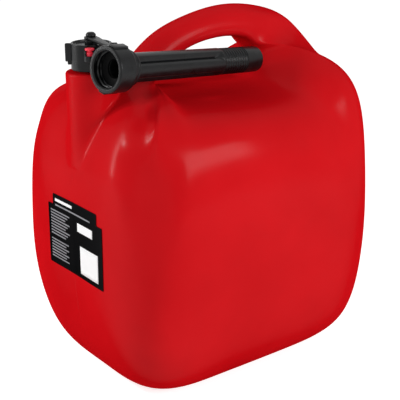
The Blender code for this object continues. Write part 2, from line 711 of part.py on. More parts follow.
def makeLabel():
    """A thin sticker that follows the front of the can."""
    halfSpan = labelWidth / 2
    top = labelMiddle + labelHeight / 2
    step = top - labelTopHeight
    bottom = labelMiddle - labelHeight / 2
    columnShares = (-1, -0.8, -0.4, 0, 0.4, 0.8, 1)
    innerShare = labelTopWidth / labelWidth
    columns = [-halfSpan, -halfSpan * innerShare] + [halfSpan * s for s in columnShares[2:5]]
    columns += [halfSpan * innerShare, halfSpan]
    rowCount = 6
    rows = [bottom + (step - bottom) * i / rowCount for i in range(rowCount + 1)] + [top]
    sheet = bmesh.new()
    grid = [[sheet.verts.new((-bodyLength, labelOffset - y, z)) for y in columns] for z in rows]
    for row in range(len(rows) - 1):
        for column in range(len(columns) - 1):
            if row < rowCount or 0 < column < len(columns) - 2:
                sheet.faces.new((grid[row][column], grid[row][column + 1],
                                 grid[row + 1][column + 1], grid[row + 1][column]))
    loose = [vert for vert in sheet.verts if not vert.link_faces]
    bmesh.ops.delete(sheet, geom=loose, context='VERTS')
    mesh = bpy.data.meshes.new("front_label")
    sheet.to_mesh(mesh)
    sheet.free()
    label = addPart("front_label", mesh, labelPaper)
    wrap = label.modifiers.new("On the can", 'SHRINKWRAP')
    wrap.target = body
    wrap.wrap_method = 'PROJECT'
    wrap.use_project_x = True
    wrap.use_project_y = False
    wrap.use_project_z = False
    wrap.use_positive_direction = True
    wrap.use_negative_direction = False
    lift = label.modifiers.new("Clear of the can", 'DISPLACE')
    lift.direction = 'X'
    lift.mid_level = 0
    lift.strength = -labelClearance
    skin = label.modifiers.new("Thickness", 'SOLIDIFY')
    skin.thickness = labelThickness
    skin.offset = 1


body = makeBody()
liftAxis = addEmpty("lift_axis", Matrix.Translation(neckAxis))
spoutAxis = addEmpty("spout_axis", Matrix.Translation(mouthCentre) @
                     spoutAim.to_track_quat('Z', 'Y').to_matrix().to_4x4())
lockPlace, lockFloor = makeCap(liftAxis)
makeKnob(liftAxis)
makeLock(lockPlace, lockFloor, liftAxis)
makeStrap()
makeNut()
makeTube()
makeNozzle()
makeLabel()
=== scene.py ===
import math

import bmesh
import bpy
import numpy as np
from mathutils import Matrix, Vector


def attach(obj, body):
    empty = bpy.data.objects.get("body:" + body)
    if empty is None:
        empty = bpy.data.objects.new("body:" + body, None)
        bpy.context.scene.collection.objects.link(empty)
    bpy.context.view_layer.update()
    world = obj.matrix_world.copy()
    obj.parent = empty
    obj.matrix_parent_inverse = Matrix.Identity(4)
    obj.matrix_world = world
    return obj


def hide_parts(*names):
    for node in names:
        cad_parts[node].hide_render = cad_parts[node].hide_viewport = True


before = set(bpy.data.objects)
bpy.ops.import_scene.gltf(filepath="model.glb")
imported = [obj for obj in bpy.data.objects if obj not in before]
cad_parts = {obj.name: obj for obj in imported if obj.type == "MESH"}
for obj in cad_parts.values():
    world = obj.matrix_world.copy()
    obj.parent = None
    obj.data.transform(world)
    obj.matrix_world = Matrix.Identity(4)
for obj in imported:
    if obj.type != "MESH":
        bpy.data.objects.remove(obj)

scene = bpy.context.scene
mergeDistance = 1e-6  # metres; points nearer than this are one
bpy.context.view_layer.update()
print("frame loaded:", ", ".join(sorted(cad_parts)))


def linearColour(code):
    # sRGB hex to linear: c / 12.92 below 0.04045, else ((c + 0.055) / 1.055) ^ 2.4
    srgb = np.array([int(code[i:i + 2], 16) for i in (1, 3, 5)]) / 255
    linear = np.where(srgb < 0.04045, srgb / 12.92, ((srgb + 0.055) / 1.055) ** 2.4)
    return (*[float(value) for value in linear], 1.0)


def addNode(tree, kind, settings=None, inputs=None):
    # a socket given as an input is linked, anything else is set as its value
    node = tree.nodes.new(kind)
    for name, value in (settings or {}).items():
        setattr(node, name, value)
    for name, value in (inputs or {}).items():
        if isinstance(value, bpy.types.NodeSocket):
            tree.links.new(value, node.inputs[name])
        else:
            node.inputs[name].default_value = value
    return node


def newMaterial(name):
    material = bpy.data.materials.new(name)
    material.use_nodes = True
    tree = material.node_tree
    tree.nodes.clear()
    place = addNode(tree, "ShaderNodeTexCoord").outputs["Object"]
    return material, tree, place


def finishMaterial(tree, shader):
    addNode(tree, "ShaderNodeOutputMaterial", inputs={"Surface": shader.outputs[0]})


def satinGloss(tree, level):
    # level is the reflection seen square on and at a glancing angle, with a smooth step between: the
    # skin is fine enough to mirror a lamp, and too rough to mirror the room at a slant
    slant = addNode(tree, "ShaderNodeLayerWeight", inputs={"Blend": 0.5}).outputs["Facing"]
    return addNode(tree, "ShaderNodeMapRange", {"interpolation_type": 'SMOOTHSTEP'}, {
        "Value": slant, "From Min": 0.25, "From Max": 0.6,
        "To Min": level[0], "To Max": level[1]}).outputs[0]


def smoothStep(low, high, value):
    # 3 t^2 - 2 t^3 between the two edges
    t = np.clip((value - low) / (high - low), 0, 1)
    return t * t * (3 - 2 * t)


def softMax(a, b, width):
    # the larger of the two, raised by (width - |a - b|)^2 / (4 width) where they are close
    near = np.maximum(width - np.abs(a - b), 0)
    return np.maximum(a, b) + near * near / (4 * width)


def roundedLine(corners, closed=False, steps=6):
    # corners are (x, y, radius): each is replaced by an arc that touches both of its sides. It leaves
    # them radius / tan(half the angle) from the corner, and runs as
    # (sin((1 - t) s) first + sin(t s) last) / sin s round its centre, with s the angle it sweeps
    longestCut = 0.49  # share of a side
    points = np.array([corner[:2] for corner in corners], float)
    before = points - np.roll(points, 1, 0)
    after = np.roll(points, -1, 0) - points
    line = []
    for index, (corner, back, ahead) in enumerate(zip(corners, before, after)):
        atEnd = not closed and index in (0, len(corners) - 1)
        if atEnd or corner[2] == 0:
            line.append(points[index:index + 1])
            continue
        backLength, aheadLength = np.linalg.norm(back), np.linalg.norm(ahead)
        u, w = -back / backLength, ahead / aheadLength
        half = math.acos(float(np.clip(u @ w, -1, 1))) / 2
        cut = min(corner[2] / math.tan(half), longestCut * backLength, longestCut * aheadLength)
        radius = cut * math.tan(half)
        centre = points[index] + (u + w) / np.linalg.norm(u + w) * radius / math.sin(half)
        first, last = points[index] + u * cut - centre, points[index] + w * cut - centre
        sweep = math.pi - 2 * half
        t = np.linspace(0, 1, steps + 1)[:, None]
        arc = np.sin((1 - t) * sweep) * first + np.sin(t * sweep) * last
        line.append(centre + arc / math.sin(sweep))
    return np.concatenate(line)


def refined(line, spacing, closed=False):
    # straight between the points, with extra ones at equal steps, none longer than the spacing
    if closed:
        line = np.concatenate([line, line[:1]])
    length = np.concatenate([[0], np.cumsum(np.linalg.norm(np.diff(line, axis=0), axis=1))])
    extra = np.concatenate([np.linspace(a, b, int((b - a) / spacing) + 2)[:-1]
                            for a, b in zip(length[:-1], length[1:]) if b > a] + [length[-1:]])
    fine = np.stack([np.interp(extra, length, line[:, axis]) for axis in range(line.shape[1])], 1)
    return fine[:-1] if closed else fine


def turned(line, steps, swell=None):
    # line of (radius, height) carried round Z: (r cos a, r sin a, z), r changed by swell(a, r, z)
    angle = np.linspace(0, 2 * math.pi, steps, endpoint=False)[None, :]
    radius, height = line[:, :1] + 0 * angle, line[:, 1:] + 0 * angle
    if swell:
        radius = swell(angle, radius, height)
    return np.stack([radius * np.cos(angle), radius * np.sin(angle), height], -1)


def roundedBlock(size, edge, steps=5):
    # a ball of the edge's radius, split along its three planes and moved apart to fill the size
    quarter = np.linspace(0, math.pi / 2, steps)
    around = np.concatenate([quarter + k * math.pi / 2 for k in range(4)])[None, :]
    middle = (np.repeat(np.arange(4), steps) * math.pi / 2 + math.pi / 4)[None, :]
    up = np.concatenate([quarter - math.pi / 2, quarter])[:, None]
    side = np.repeat([-1, 1], steps)[:, None]
    half = np.array(size) / 2 - edge
    return np.stack([edge * np.cos(up) * np.cos(around) + half[0] * np.sign(np.cos(middle)) + 0 * up,
                     edge * np.cos(up) * np.sin(around) + half[1] * np.sign(np.sin(middle)) + 0 * up,
                     edge * np.sin(up) + half[2] * side + 0 * around], -1)


def placed(points, matrix):
    # every point turned by the matrix and then moved by its shift
    turn = np.array(matrix.to_3x3())
    return points @ turn.T + np.array(matrix.translation)


def gridFaces(rows, columns, wrapRows, wrapColumns, start):
    # each face joins a point of the grid, the one below it, and their neighbours in the next column
    index = np.arange(rows * columns).reshape(rows, columns) + start
    below = np.roll(index, -1, 0)
    quads = np.stack([index, below, np.roll(below, -1, 1), np.roll(index, -1, 1)], -1)
    quads = quads if wrapRows else quads[:-1]
    return (quads if wrapColumns else quads[:, :-1]).reshape(-1, 4)


def newPiece(name, grids, material, body, replaced=(), sharp=40):
    # grids are (points, wrapRows, wrapColumns), joined in one mesh; a row that shrinks to a point is
    # merged there
    points, faces, start = [], [], 0
    for grid, wrapRows, wrapColumns in grids:
        rows, columns = grid.shape[:2]
        faces.append(gridFaces(rows, columns, wrapRows, wrapColumns, start))
        points.append(grid.reshape(-1, 3))
        start += rows * columns
    mesh = bpy.data.meshes.new(name)
    mesh.from_pydata(np.concatenate(points).tolist(), [], np.concatenate(faces).tolist())
    shape = bmesh.new()
    shape.from_mesh(mesh)
    bmesh.ops.remove_doubles(shape, verts=shape.verts, dist=mergeDistance)
    bmesh.ops.dissolve_degenerate(shape, edges=shape.edges, dist=mergeDistance / 10)
    bmesh.ops.recalc_face_normals(shape, faces=shape.faces)
    openEdges = sum(1 for edge in shape.edges if edge.is_boundary)
    shape.to_mesh(mesh)
    shape.free()
    mesh.shade_smooth()
    mesh.set_sharp_from_angle(angle=math.radians(sharp))
    mesh.materials.append(material)
    piece = bpy.data.objects.new(name, mesh)
    scene.collection.objects.link(piece)
    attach(piece, body)
    if replaced:
        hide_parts(*replaced)
    print("piece %s: %d faces, %d open edges" % (name, len(mesh.polygons), openEdges))
    return piece


# High-density polyethylene, coloured in the mass and blow moulded: to the eye a satin skin with a
# faint orange peel from the mould and slightly deeper streaks. The real grain is too fine to show,
# so it is drawn about 1 mm wide
redMoulding = {
    "colour": "#cb1118", "deepColour": "#c20d14", "ior": 1.54, "specular": (0.036, 0.0),
    "roughness": (0.17, 0.23), "peelSize": 0.009, "peelHeight": 0.00006,
    "grainSize": 0.0011, "grainHeight": 0.000012, "streakSize": 0.11, "scuffSize": 0.02,
}


def redPolyethylene():
    look = redMoulding
    material, tree, place = newMaterial("red_blow_moulded_polyethylene")
    streak = addNode(tree, "ShaderNodeTexNoise", inputs={
        "Vector": place, "Scale": 1 / look["streakSize"], "Detail": 3.0, "Roughness": 0.55})
    tone = addNode(tree, "ShaderNodeMapRange", inputs={
        "Value": streak.outputs[0], "From Min": 0.35, "From Max": 0.65})
    colour = addNode(tree, "ShaderNodeMix", {"data_type": 'RGBA'}, {
        0: tone.outputs[0], 6: linearColour(look["deepColour"]), 7: linearColour(look["colour"])})
    scuff = addNode(tree, "ShaderNodeTexNoise", inputs={
        "Vector": place, "Scale": 1 / look["scuffSize"], "Detail": 6.0, "Roughness": 0.6})
    roughness = addNode(tree, "ShaderNodeMapRange", inputs={
        "Value": scuff.outputs[0], "From Min": 0.3, "From Max": 0.7,
        "To Min": look["roughness"][0], "To Max": look["roughness"][1]})
    peel = addNode(tree, "ShaderNodeTexNoise", inputs={
        "Vector": place, "Scale": 1 / look["peelSize"], "Detail": 2.0})
    grain = addNode(tree, "ShaderNodeTexNoise", inputs={
        "Vector": place, "Scale": 1 / look["grainSize"], "Detail": 2.0})
    peelBump = addNode(tree, "ShaderNodeBump", inputs={
        "Height": peel.outputs[0], "Distance": look["peelHeight"], "Strength": 1.0})
    grainBump = addNode(tree, "ShaderNodeBump", inputs={
        "Height": grain.outputs[0], "Distance": look["grainHeight"], "Strength": 1.0,
        "Normal": peelBump.outputs[0]})
    shader = addNode(tree, "ShaderNodeBsdfPrincipled", inputs={
        "Base Color": colour.outputs[2], "Roughness": roughness.outputs[0], "IOR": look["ior"],
        "Specular IOR Level": satinGloss(tree, look["specular"]), "Normal": grainBump.outputs[0]})
    finishMaterial(tree, shader)
    return material


# Black polyethylene and polypropylene fittings, injection moulded: to the eye a dull satin with a
# spark-eroded grain, drawn coarser than the real one so that it shows, and lighter rubbed marks
# that break the highlights
blackMoulding = {
    "colour": "#0b0c0d", "rubbedColour": "#141517", "ior": 1.5, "specular": (0.18, 0.15),
    "roughness": (0.26, 0.36), "grainSize": 0.0006, "grainHeight": 0.00002, "rubSize": 0.006,
}


def blackPolyethylene():
    look = blackMoulding
    material, tree, place = newMaterial("black_moulded_polyethylene")
    rub = addNode(tree, "ShaderNodeTexNoise", inputs={
        "Vector": place, "Scale": 1 / look["rubSize"], "Detail": 5.0, "Roughness": 0.65})
    amount = addNode(tree, "ShaderNodeMapRange", inputs={
        "Value": rub.outputs[0], "From Min": 0.45, "From Max": 0.75})
    colour = addNode(tree, "ShaderNodeMix", {"data_type": 'RGBA'}, {
        0: amount.outputs[0], 6: linearColour(look["colour"]), 7: linearColour(look["rubbedColour"])})
    roughness = addNode(tree, "ShaderNodeMapRange", inputs={
        "Value": rub.outputs[0], "From Min": 0.3, "From Max": 0.7,
        "To Min": look["roughness"][0], "To Max": look["roughness"][1]})
    grain = addNode(tree, "ShaderNodeTexNoise", inputs={
        "Vector": place, "Scale": 1 / look["grainSize"], "Detail": 2.0})
    bump = addNode(tree, "ShaderNodeBump", inputs={
        "Height": grain.outputs[0], "Distance": look["grainHeight"], "Strength": 1.0})
    shader = addNode(tree, "ShaderNodeBsdfPrincipled", inputs={
        "Base Color": colour.outputs[2], "Roughness": roughness.outputs[0], "IOR": look["ior"],
        "Specular IOR Level": satinGloss(tree, look["specular"]), "Normal": bump.outputs[0]})
    finishMaterial(tree, shader)
    return material


# Bright red polypropylene of the lock pin, injection moulded: to the eye glossier than the can,
# slightly clouded
pinMoulding = {
    "colour": "#ee1f38", "lightColour": "#ff3850", "ior": 1.49, "roughness": (0.28, 0.42),
    "cloudSize": 0.004,
}


def redPolypropylene():
    look = pinMoulding
    material, tree, place = newMaterial("bright_red_polypropylene")
    cloud = addNode(tree, "ShaderNodeTexNoise", inputs={
        "Vector": place, "Scale": 1 / look["cloudSize"], "Detail": 3.0})
    colour = addNode(tree, "ShaderNodeMix", {"data_type": 'RGBA'}, {
        0: cloud.outputs[0], 6: linearColour(look["colour"]), 7: linearColour(look["lightColour"])})
    roughness = addNode(tree, "ShaderNodeMapRange", inputs={
        "Value": cloud.outputs[0], "To Min": look["roughness"][0], "To Max": look["roughness"][1]})
    shader = addNode(tree, "ShaderNodeBsdfPrincipled", inputs={
        "Base Color": colour.outputs[2], "Roughness": roughness.outputs[0], "IOR": look["ior"]})
    finishMaterial(tree, shader)
    return material


# Nitrile rubber of the two flat rings, die cut: to the eye dull and nearly black, with a talc bloom
ringRubber = {
    "colour": "#0c0c0d", "bloomColour": "#161616", "roughness": 0.75, "specular": 0.08,
    "bloomSize": 0.0025, "bloomHeight": 0.00003,
}


def nitrileRubber():
    look = ringRubber
    material, tree, place = newMaterial("nitrile_rubber")
    bloom = addNode(tree, "ShaderNodeTexNoise", inputs={
        "Vector": place, "Scale": 1 / look["bloomSize"], "Detail": 4.0})
    colour = addNode(tree, "ShaderNodeMix", {"data_type": 'RGBA'}, {
        0: bloom.outputs[0], 6: linearColour(look["colour"]), 7: linearColour(look["bloomColour"])})
    bump = addNode(tree, "ShaderNodeBump", inputs={
        "Height": bloom.outputs[0], "Distance": look["bloomHeight"]})
    shader = addNode(tree, "ShaderNodeBsdfPrincipled", inputs={
        "Base Color": colour.outputs[2], "Roughness": look["roughness"],
        "Specular IOR Level": look["specular"], "Normal": bump.outputs[0]})
    finishMaterial(tree, shader)
    return material


# Vinyl film under a clear varnish, and the inks on it: to the eye flat colours with a smooth shine
vinyl = {
    "film": ("#060607", "#0c0c0d"), "whiteInk": ("#f4f4f4", "#fcfcfc"),
    "greyInk": ("#7c7c80", "#a0a0a4"), "ior": 1.5, "specular": (0.03, 0.0),
    "roughness": (0.3, 0.42), "cloudSize": 0.0111,
}


def varnishedVinyl(name, colours):
    material, tree, place = newMaterial(name)
    cloud = addNode(tree, "ShaderNodeTexNoise", inputs={
        "Vector": place, "Scale": 1 / vinyl["cloudSize"], "Detail": 5.0})
    colour = addNode(tree, "ShaderNodeMix", {"data_type": 'RGBA'}, {
        0: cloud.outputs[0], 6: linearColour(colours[0]), 7: linearColour(colours[1])})
    roughness = addNode(tree, "ShaderNodeMapRange", inputs={
        "Value": cloud.outputs[0], "To Min": vinyl["roughness"][0], "To Max": vinyl["roughness"][1]})
    shader = addNode(tree, "ShaderNodeBsdfPrincipled", inputs={
        "Base Color": colour.outputs[2], "Roughness": roughness.outputs[0], "IOR": vinyl["ior"],
        "Specular IOR Level": satinGloss(tree, vinyl["specular"])})
    finishMaterial(tree, shader)
    return material


redPlastic = redPolyethylene()
blackPlastic = blackPolyethylene()
lockPlastic = redPolypropylene()
sealRubber = nitrileRubber()
stickerFilm = varnishedVinyl("black_vinyl_film", vinyl["film"])
whiteInk = varnishedVinyl("white_printed_ink", vinyl["whiteInk"])
greyInk = varnishedVinyl("grey_printed_ink", vinyl["greyInk"])
print("materials done")


# The can is one closed net of rings round the hand opening: 19 rings, 14 points on each. The ring
# tables are shares of the half length, half width and height, the arches shares of the handle's sizes
can = {
    "length": 0.3115, "width": 0.2645, "height": 0.3145, "footDrop": 0.0006, "footRound": 0.0012,
    "handleRise": 0.061, "handleThickness": 0.0305, "handleWidth": 0.034,
    "lengthPower": 6.6, "heightPower": 2.83, "blendPower": 0.906, "widthPower": 4.27,
    "neckX": -0.1274, "turretRadius": 0.0252, "turretTop": 0.3255, "turretBlend": 0.006,
    "turretHeart": 0.265, "turretCover": 0.00015, "turretCeiling": 0.0035, "ceilingBlend": 0.004,
    "seamHeight": 0.00022, "seamWidth": 0.0011,
}
# half of each arch of the handle: (place along the can, rise, lean in degrees, thickness, width)
frontArches = [(0.206, 1.0, -17.4, 1.10, 1.0), (-0.154, 0.869, 19.3, 0.99, 1.0),
               (-0.386, 0.623, 35.8, 1.01, 1.03), (-0.553, 0.262, 64.3, 0.985, 1.235)]
rearArches = [(0.823, 0.525, -79.8, 2.40, 1.41), (0.617, 0.852, -62.1, 1.82, 1.147)]
# half of each ring: (along, across, up) from the hand opening out, and how many lie as written
rings = [
    ([(-0.424, 0, 0.994), (-0.456, 0.144, 0.992), (-0.501, 0.234, 0.99), (-0.552, 0.265, 0.989),
      (-0.591, 0.242, 0.989), (-0.623, 0.189, 0.99), (-0.642, 0.106, 0.992), (-0.648, 0, 0.994)], 8),
    ([(-0.437, 0, 0.989), (-0.482, 0.212, 0.986), (-0.584, 0.431, 0.976), (-0.693, 0.605, 0.925),
      (-0.783, 0.62, 0.903), (-0.848, 0.469, 0.909), (-0.88, 0.25, 0.925), (-0.892, 0, 0.932)], 3),
    ([(-0.43, 0, 0.985), (-0.491, 0.234, 0.983), (-0.591, 0.514, 0.967), (-0.706, 0.726, 0.871),
      (-0.841, 0.741, 0.773), (-0.944, 0.56, 0.75), (-0.982, 0.287, 0.744), (-0.989, 0, 0.744)], 3),
    ([(-0.417, 0, 0.981), (-0.475, 0.227, 0.979), (-0.552, 0.529, 0.963), (-0.616, 0.802, 0.878),
      (-0.732, 0.938, 0.7), (-0.899, 0.802, 0.534), (-0.982, 0.454, 0.496), (-0.995, 0, 0.496)], 3),
    ([(-0.366, 0, 0.963), (-0.417, 0.204, 0.944), (-0.475, 0.514, 0.928), (-0.52, 0.809, 0.843),
      (-0.629, 0.968, 0.604), (-0.835, 0.877, 0.35), (-0.963, 0.499, 0.267), (-0.982, 0, 0.267)], 3),
    ([(-0.257, 0, 0.957), (-0.283, 0.219, 0.938), (-0.321, 0.544, 0.922), (-0.36, 0.847, 0.833),
      (-0.437, 0.991, 0.541), (-0.6, 0.938, 0.18), (-0.76, 0.575, 0.075), (-0.82, 0, 0.052)], 3),
    ([(-0.077, 0, 0.954), (-0.083, 0.227, 0.936), (-0.09, 0.56, 0.921), (-0.103, 0.862, 0.827),
      (-0.135, 0.998, 0.525), (-0.22, 0.938, 0.146), (-0.32, 0.56, 0.01), (-0.38, 0, 0)], 3),
    ([(0.128, 0, 0.955), (0.128, 0.227, 0.936), (0.128, 0.56, 0.921), (0.154, 0.862, 0.827),
      (0.16, 0.998, 0.525), (0.23, 0.938, 0.146), (0.325, 0.56, 0.01), (0.385, 0, 0)], 3),
    ([(0.27, 0, 0.96), (0.289, 0.212, 0.943), (0.334, 0.529, 0.928), (0.385, 0.847, 0.833),
      (0.47, 0.991, 0.55), (0.615, 0.938, 0.18), (0.76, 0.575, 0.075), (0.82, 0, 0.052)], 3),
    ([(0.321, 0, 0.973), (0.36, 0.197, 0.96), (0.449, 0.499, 0.948), (0.539, 0.786, 0.884),
      (0.693, 0.953, 0.62), (0.86, 0.877, 0.356), (0.963, 0.499, 0.273), (0.982, 0, 0.273)], 4),
    ([(0.347, 0, 0.989), (0.411, 0.181, 0.989), (0.552, 0.469, 0.989), (0.681, 0.749, 0.941),
      (0.809, 0.877, 0.738), (0.925, 0.786, 0.525), (0.982, 0.423, 0.496), (0.995, 0, 0.496)], 4),
    ([(0.366, 0, 1.011), (0.462, 0.181, 1.017), (0.629, 0.408, 1.027), (0.783, 0.65, 0.983),
      (0.899, 0.718, 0.865), (0.97, 0.529, 0.763), (0.995, 0.257, 0.75), (0.995, 0, 0.75)], 5),
    ([(0.372, 0, 1.033), (0.449, 0.136, 1.043), (0.591, 0.272, 1.059), (0.745, 0.423, 1.037),
      (0.867, 0.454, 0.992), (0.925, 0.348, 0.973), (0.95, 0.181, 0.963), (0.957, 0, 0.96)], 8),
]
# how far each point of the half net moves from there, in mm: the real mould is not quite regular.
# First the front arches, then the rings, then the rear arches
nudges = [
    [(-0.1, 0, -0.4), (-0.1, -0.1, -0.5), (-0.1, -0.2, -0.6), (-0.1, -0.2, -0.7), (-0.2, -0.3, -0.9),
     (-0.2, -0.3, -1), (0, -0.6, -0.8), (0.3, 0, 0.2)],
    [(0, 0, -0.3), (0, -0.2, -0.3), (0, -0.2, -0.4), (0.1, -0.3, -0.6), (0.1, -0.4, -0.8),
     (0.1, -0.4, -1.1), (0.2, -0.6, -1.7), (0.2, 0, -2.2)],
    [(0.1, 0, -0.2), (0.1, -0.2, -0.3), (0.2, -0.3, -0.4), (0.3, -0.4, -0.5), (0.4, -0.5, -0.7),
     (0.4, -0.5, -0.9), (0.5, -0.6, -1.3), (0.4, 0, -1.3)],
    [(0.1, 0, -0.1), (0.2, -0.3, -0.2), (0.3, -0.4, -0.3), (0.6, -0.6, -0.5), (0.8, -0.7, -0.7),
     (0.8, -0.7, -0.9), (0.8, -0.6, -1.1), (0.6, 0, -1.1)],
    [(0.1, 0, 0), (0.2, -0.3, 0), (0.4, -0.6, -0.2), (1.2, -1, -0.6), (1.6, -1.3, -1),
     (1.1, -0.9, -1), (1.3, -0.7, -1.3), (0.8, 0, -1.1)],
    [(0, 0, 0.2), (0.1, -0.3, 0.2), (0.2, -0.7, 0.2), (1.4, -1.6, -0.3), (3.9, -3.3, -1.4),
     (3.2, -1.8, -1.7), (3.4, -1.1, -2.7), (1, 0, -1.4)],
    [(-0.1, 0, 0.4), (-0.1, -0.2, 0.4), (-0.4, -0.6, 0.7), (-1.3, -2.3, 1.2), (1.5, -3.9, -0.3),
     (-3.3, 1.2, -1.4), (-0.8, 0, -2), (0.1, 0, -1.2)],
    [(-0.2, 0, 0.6), (-0.2, 0.3, 0.7), (-0.4, 0.3, 1), (-0.2, -3.6, -1.3), (-0.8, -2.8, -1.2),
     (-1.4, -0.9, -0.8), (-0.4, -0.9, -1.3), (0.2, 0, -0.9)],
    [(-0.2, 0, 0.9), (-0.3, 1.2, 1.3), (-0.8, 4, 3.4), (-0.2, -2.2, -1.4), (0.1, -3.2, -1.9),
     (-1.2, -1.5, -1.6), (-1.5, 0.4, -1.4), (1.6, 0, -0.1)],
    [(-0.3, 0, 1), (-0.3, 1.5, 1.3), (-0.8, 4.7, 3.2), (-0.2, 0, 0.5), (0, -2.7, -0.8),
     (-2, -3.5, 1.8), (-0.8, -2.5, -1.1), (2.2, 0, -1.1)],
    [(-0.2, 0, 0.8), (-0.3, 1.1, 1), (-0.6, 2.5, 1.9), (-0.7, 1.5, 2), (-0.1, -0.9, 0.9),
     (-0.4, -1.9, 1.6), (-1.4, -2, -0.4), (0, 0, -1)],
    [(-0.2, 0, 0.6), (-0.2, 0.7, 0.7), (-0.1, 0.9, 0.9), (0, 0, 0.9), (0.4, -0.8, 1),
     (1.1, -0.6, 2.1), (0.6, -0.6, 1.1), (0.8, 0, 0.5)],
    [(-0.1, 0, 0.3), (-0.1, 0.4, 0.4), (0, 0.4, 0.6), (0.3, 0.3, 0.8), (1.2, 0.4, 1.2),
     (6.2, 3.5, 4), (5.3, 0.6, 6.6), (1.8, 0, 2.4)],
    [(-0.1, 0, 0.1), (-0.1, 0.2, 0.1), (-0.1, 0.1, 0.1), (-0.2, -0.2, 0.3), (-1.5, -2.1, 0.5),
     (-0.8, -1.3, 0.1), (2.1, 1.7, 0.5), (1.1, 0, 0.9)],
    [(-0.1, 0, -0.2), (-0.1, 0.1, -0.2), (-0.1, 0, -0.3), (0, 0.1, -0.1), (-0.2, -0.3, -0.1),
     (-2, -2.5, 0), (0, -0.3, 0.3), (0.4, 0, 0.3)],
    [(-0.2, 0, -0.5), (-0.2, 0, -0.6), (-0.3, 0, -1.2), (0.1, 0.2, -0.6), (-0.2, -0.1, -0.5),
     (-0.3, -0.2, -0.9), (-0.1, 0, -0.5), (-0.1, 0, -0.5)],
    [(-0.2, 0, -0.6), (-0.3, -0.1, -0.9), (-0.9, -0.3, -2.3), (-1, -0.2, -3.4), (-0.9, -0.5, -1.8),
     (-1.4, -0.8, -2.5), (0.1, 0.5, -0.8), (-0.3, 0, -1.1)],
    [(-0.2, 0, -0.6), (-0.3, -0.1, -0.8), (-0.5, -0.2, -1.3), (-0.7, -0.3, -1.8), (-0.8, -0.4, -1.8),
     (-0.9, -0.3, -2.2), (0.1, 0.8, -1.8), (-1.9, 0, -3.8)],
    [(-0.1, 0, -0.5), (-0.2, -0.1, -0.6), (-0.3, -0.2, -0.8), (-0.3, -0.2, -1.1), (-0.4, -0.3, -1.2),
     (-0.6, -0.3, -1.4), (-1.6, -0.7, -2.1), (-2.4, 0, -1)],
]
# samples in each cell of the net, closer together where the shape turns faster
ringSamples = [16, 14, 14, 20, 40, 34, 16, 16, 12, 12, 8, 12, 12, 12, 12, 12, 12, 14, 14]
pointSamples = [14, 16, 16, 14, 16, 28, 34, 34, 28, 16, 14, 16, 16, 14]
ringCount, pointCount = len(ringSamples), len(pointSamples)
halfCount = pointCount // 2 + 1


def archRow(outerShare, riseShare, lean, thicknessShare, widthShare):
    # half an oval, widest near the hand: inward = d (1 + cos a) / 2, side = w |sin b|^0.9 with
    # b = pi (a / pi)^0.72, turned by the lean
    a = np.linspace(0, math.pi, halfCount)
    b = math.pi * (a / math.pi) ** 0.72
    inward = thicknessShare * can["handleThickness"] * (1 + np.cos(a)) / 2
    side = widthShare * can["handleWidth"] / 2 * np.abs(np.sin(b)) ** 0.9
    side[[0, -1]] = 0
    x = outerShare * can["length"] / 2 + inward * math.sin(math.radians(lean))
    z = can["height"] + riseShare * can["handleRise"] - inward * math.cos(math.radians(lean))
    return np.stack([x, side, z], 1)


def ringRow(shares, written):
    # the first points lie as written, the rest are cast from the middle on to the rounded box
    # (|x|^p + |z|^q)^m + |y|^n = 1, by halving the reach of the ray
    shares = np.array(shares, float)
    half = np.array([can["length"], can["width"], can["height"]]) / 2
    aim = shares * np.array([1, 1, 2]) - np.array([0, 0, 1])
    near, far = np.full(halfCount, 0.4), np.full(halfCount, 2.5)
    for _ in range(40):
        reach = (near + far) / 2
        x, y, z = np.abs(aim.T * reach)
        level = (x ** can["lengthPower"] + z ** can["heightPower"]) ** can["blendPower"]
        inside = level + y ** can["widthPower"] < 1
        near, far = np.where(inside, reach, near), np.where(inside, far, reach)
    cast = aim * near[:, None] * half + np.array([0, 0, half[2]])
    cast[:, 2] -= np.where(aim[:, 2] < 0, can["footDrop"] * near * -aim[:, 2], 0)
    asWritten = shares * half * np.array([1, 1, 2])
    return np.where(np.arange(halfCount)[:, None] < written, asWritten, cast)


def meanOfNeighbours(net):
    # where a cubic surface over the net passes each of its points: (before + 4 here + after) / 6
    along = (np.roll(net, 1, 0) + 4 * net + np.roll(net, -1, 0)) / 6
    return (np.roll(along, 1, 1) + 4 * along + np.roll(along, -1, 1)) / 6


def canNet():
    # the half net and its mirror image; what the cubic surface misses each point by is added twice
    rows = [archRow(*arch) for arch in frontArches] + [ringRow(*ring) for ring in rings]
    half = np.array(rows + [archRow(*arch) for arch in rearArches]) + np.array(nudges) / 1000
    target = np.concatenate([half, half[:, 1:-1][:, ::-1] * np.array([1, -1, 1])], 1)
    net = target.copy()
    for _ in range(2):
        net = net + target - meanOfNeighbours(net)
    return net


def cubicWeights(count, at):
    # uniform cubic B-spline on a ring: 2/3 - d^2 + d^3/2 within one step, (2 - d)^3 / 6 within two
    d = np.abs((at[:, None] - np.arange(count) + count / 2) % count - count / 2)
    return np.where(d < 1, 2 / 3 - d ** 2 + d ** 3 / 2, np.where(d < 2, (2 - d) ** 3 / 6, 0))


def gridNormals(points):
    # the cross product of the ways to the next point across and along, made one long
    along = np.roll(points, -1, 0) - np.roll(points, 1, 0)
    across = np.roll(points, -1, 1) - np.roll(points, 1, 1)
    normal = np.cross(across, along)
    return normal / np.maximum(np.linalg.norm(normal, axis=2, keepdims=True), 1e-12)


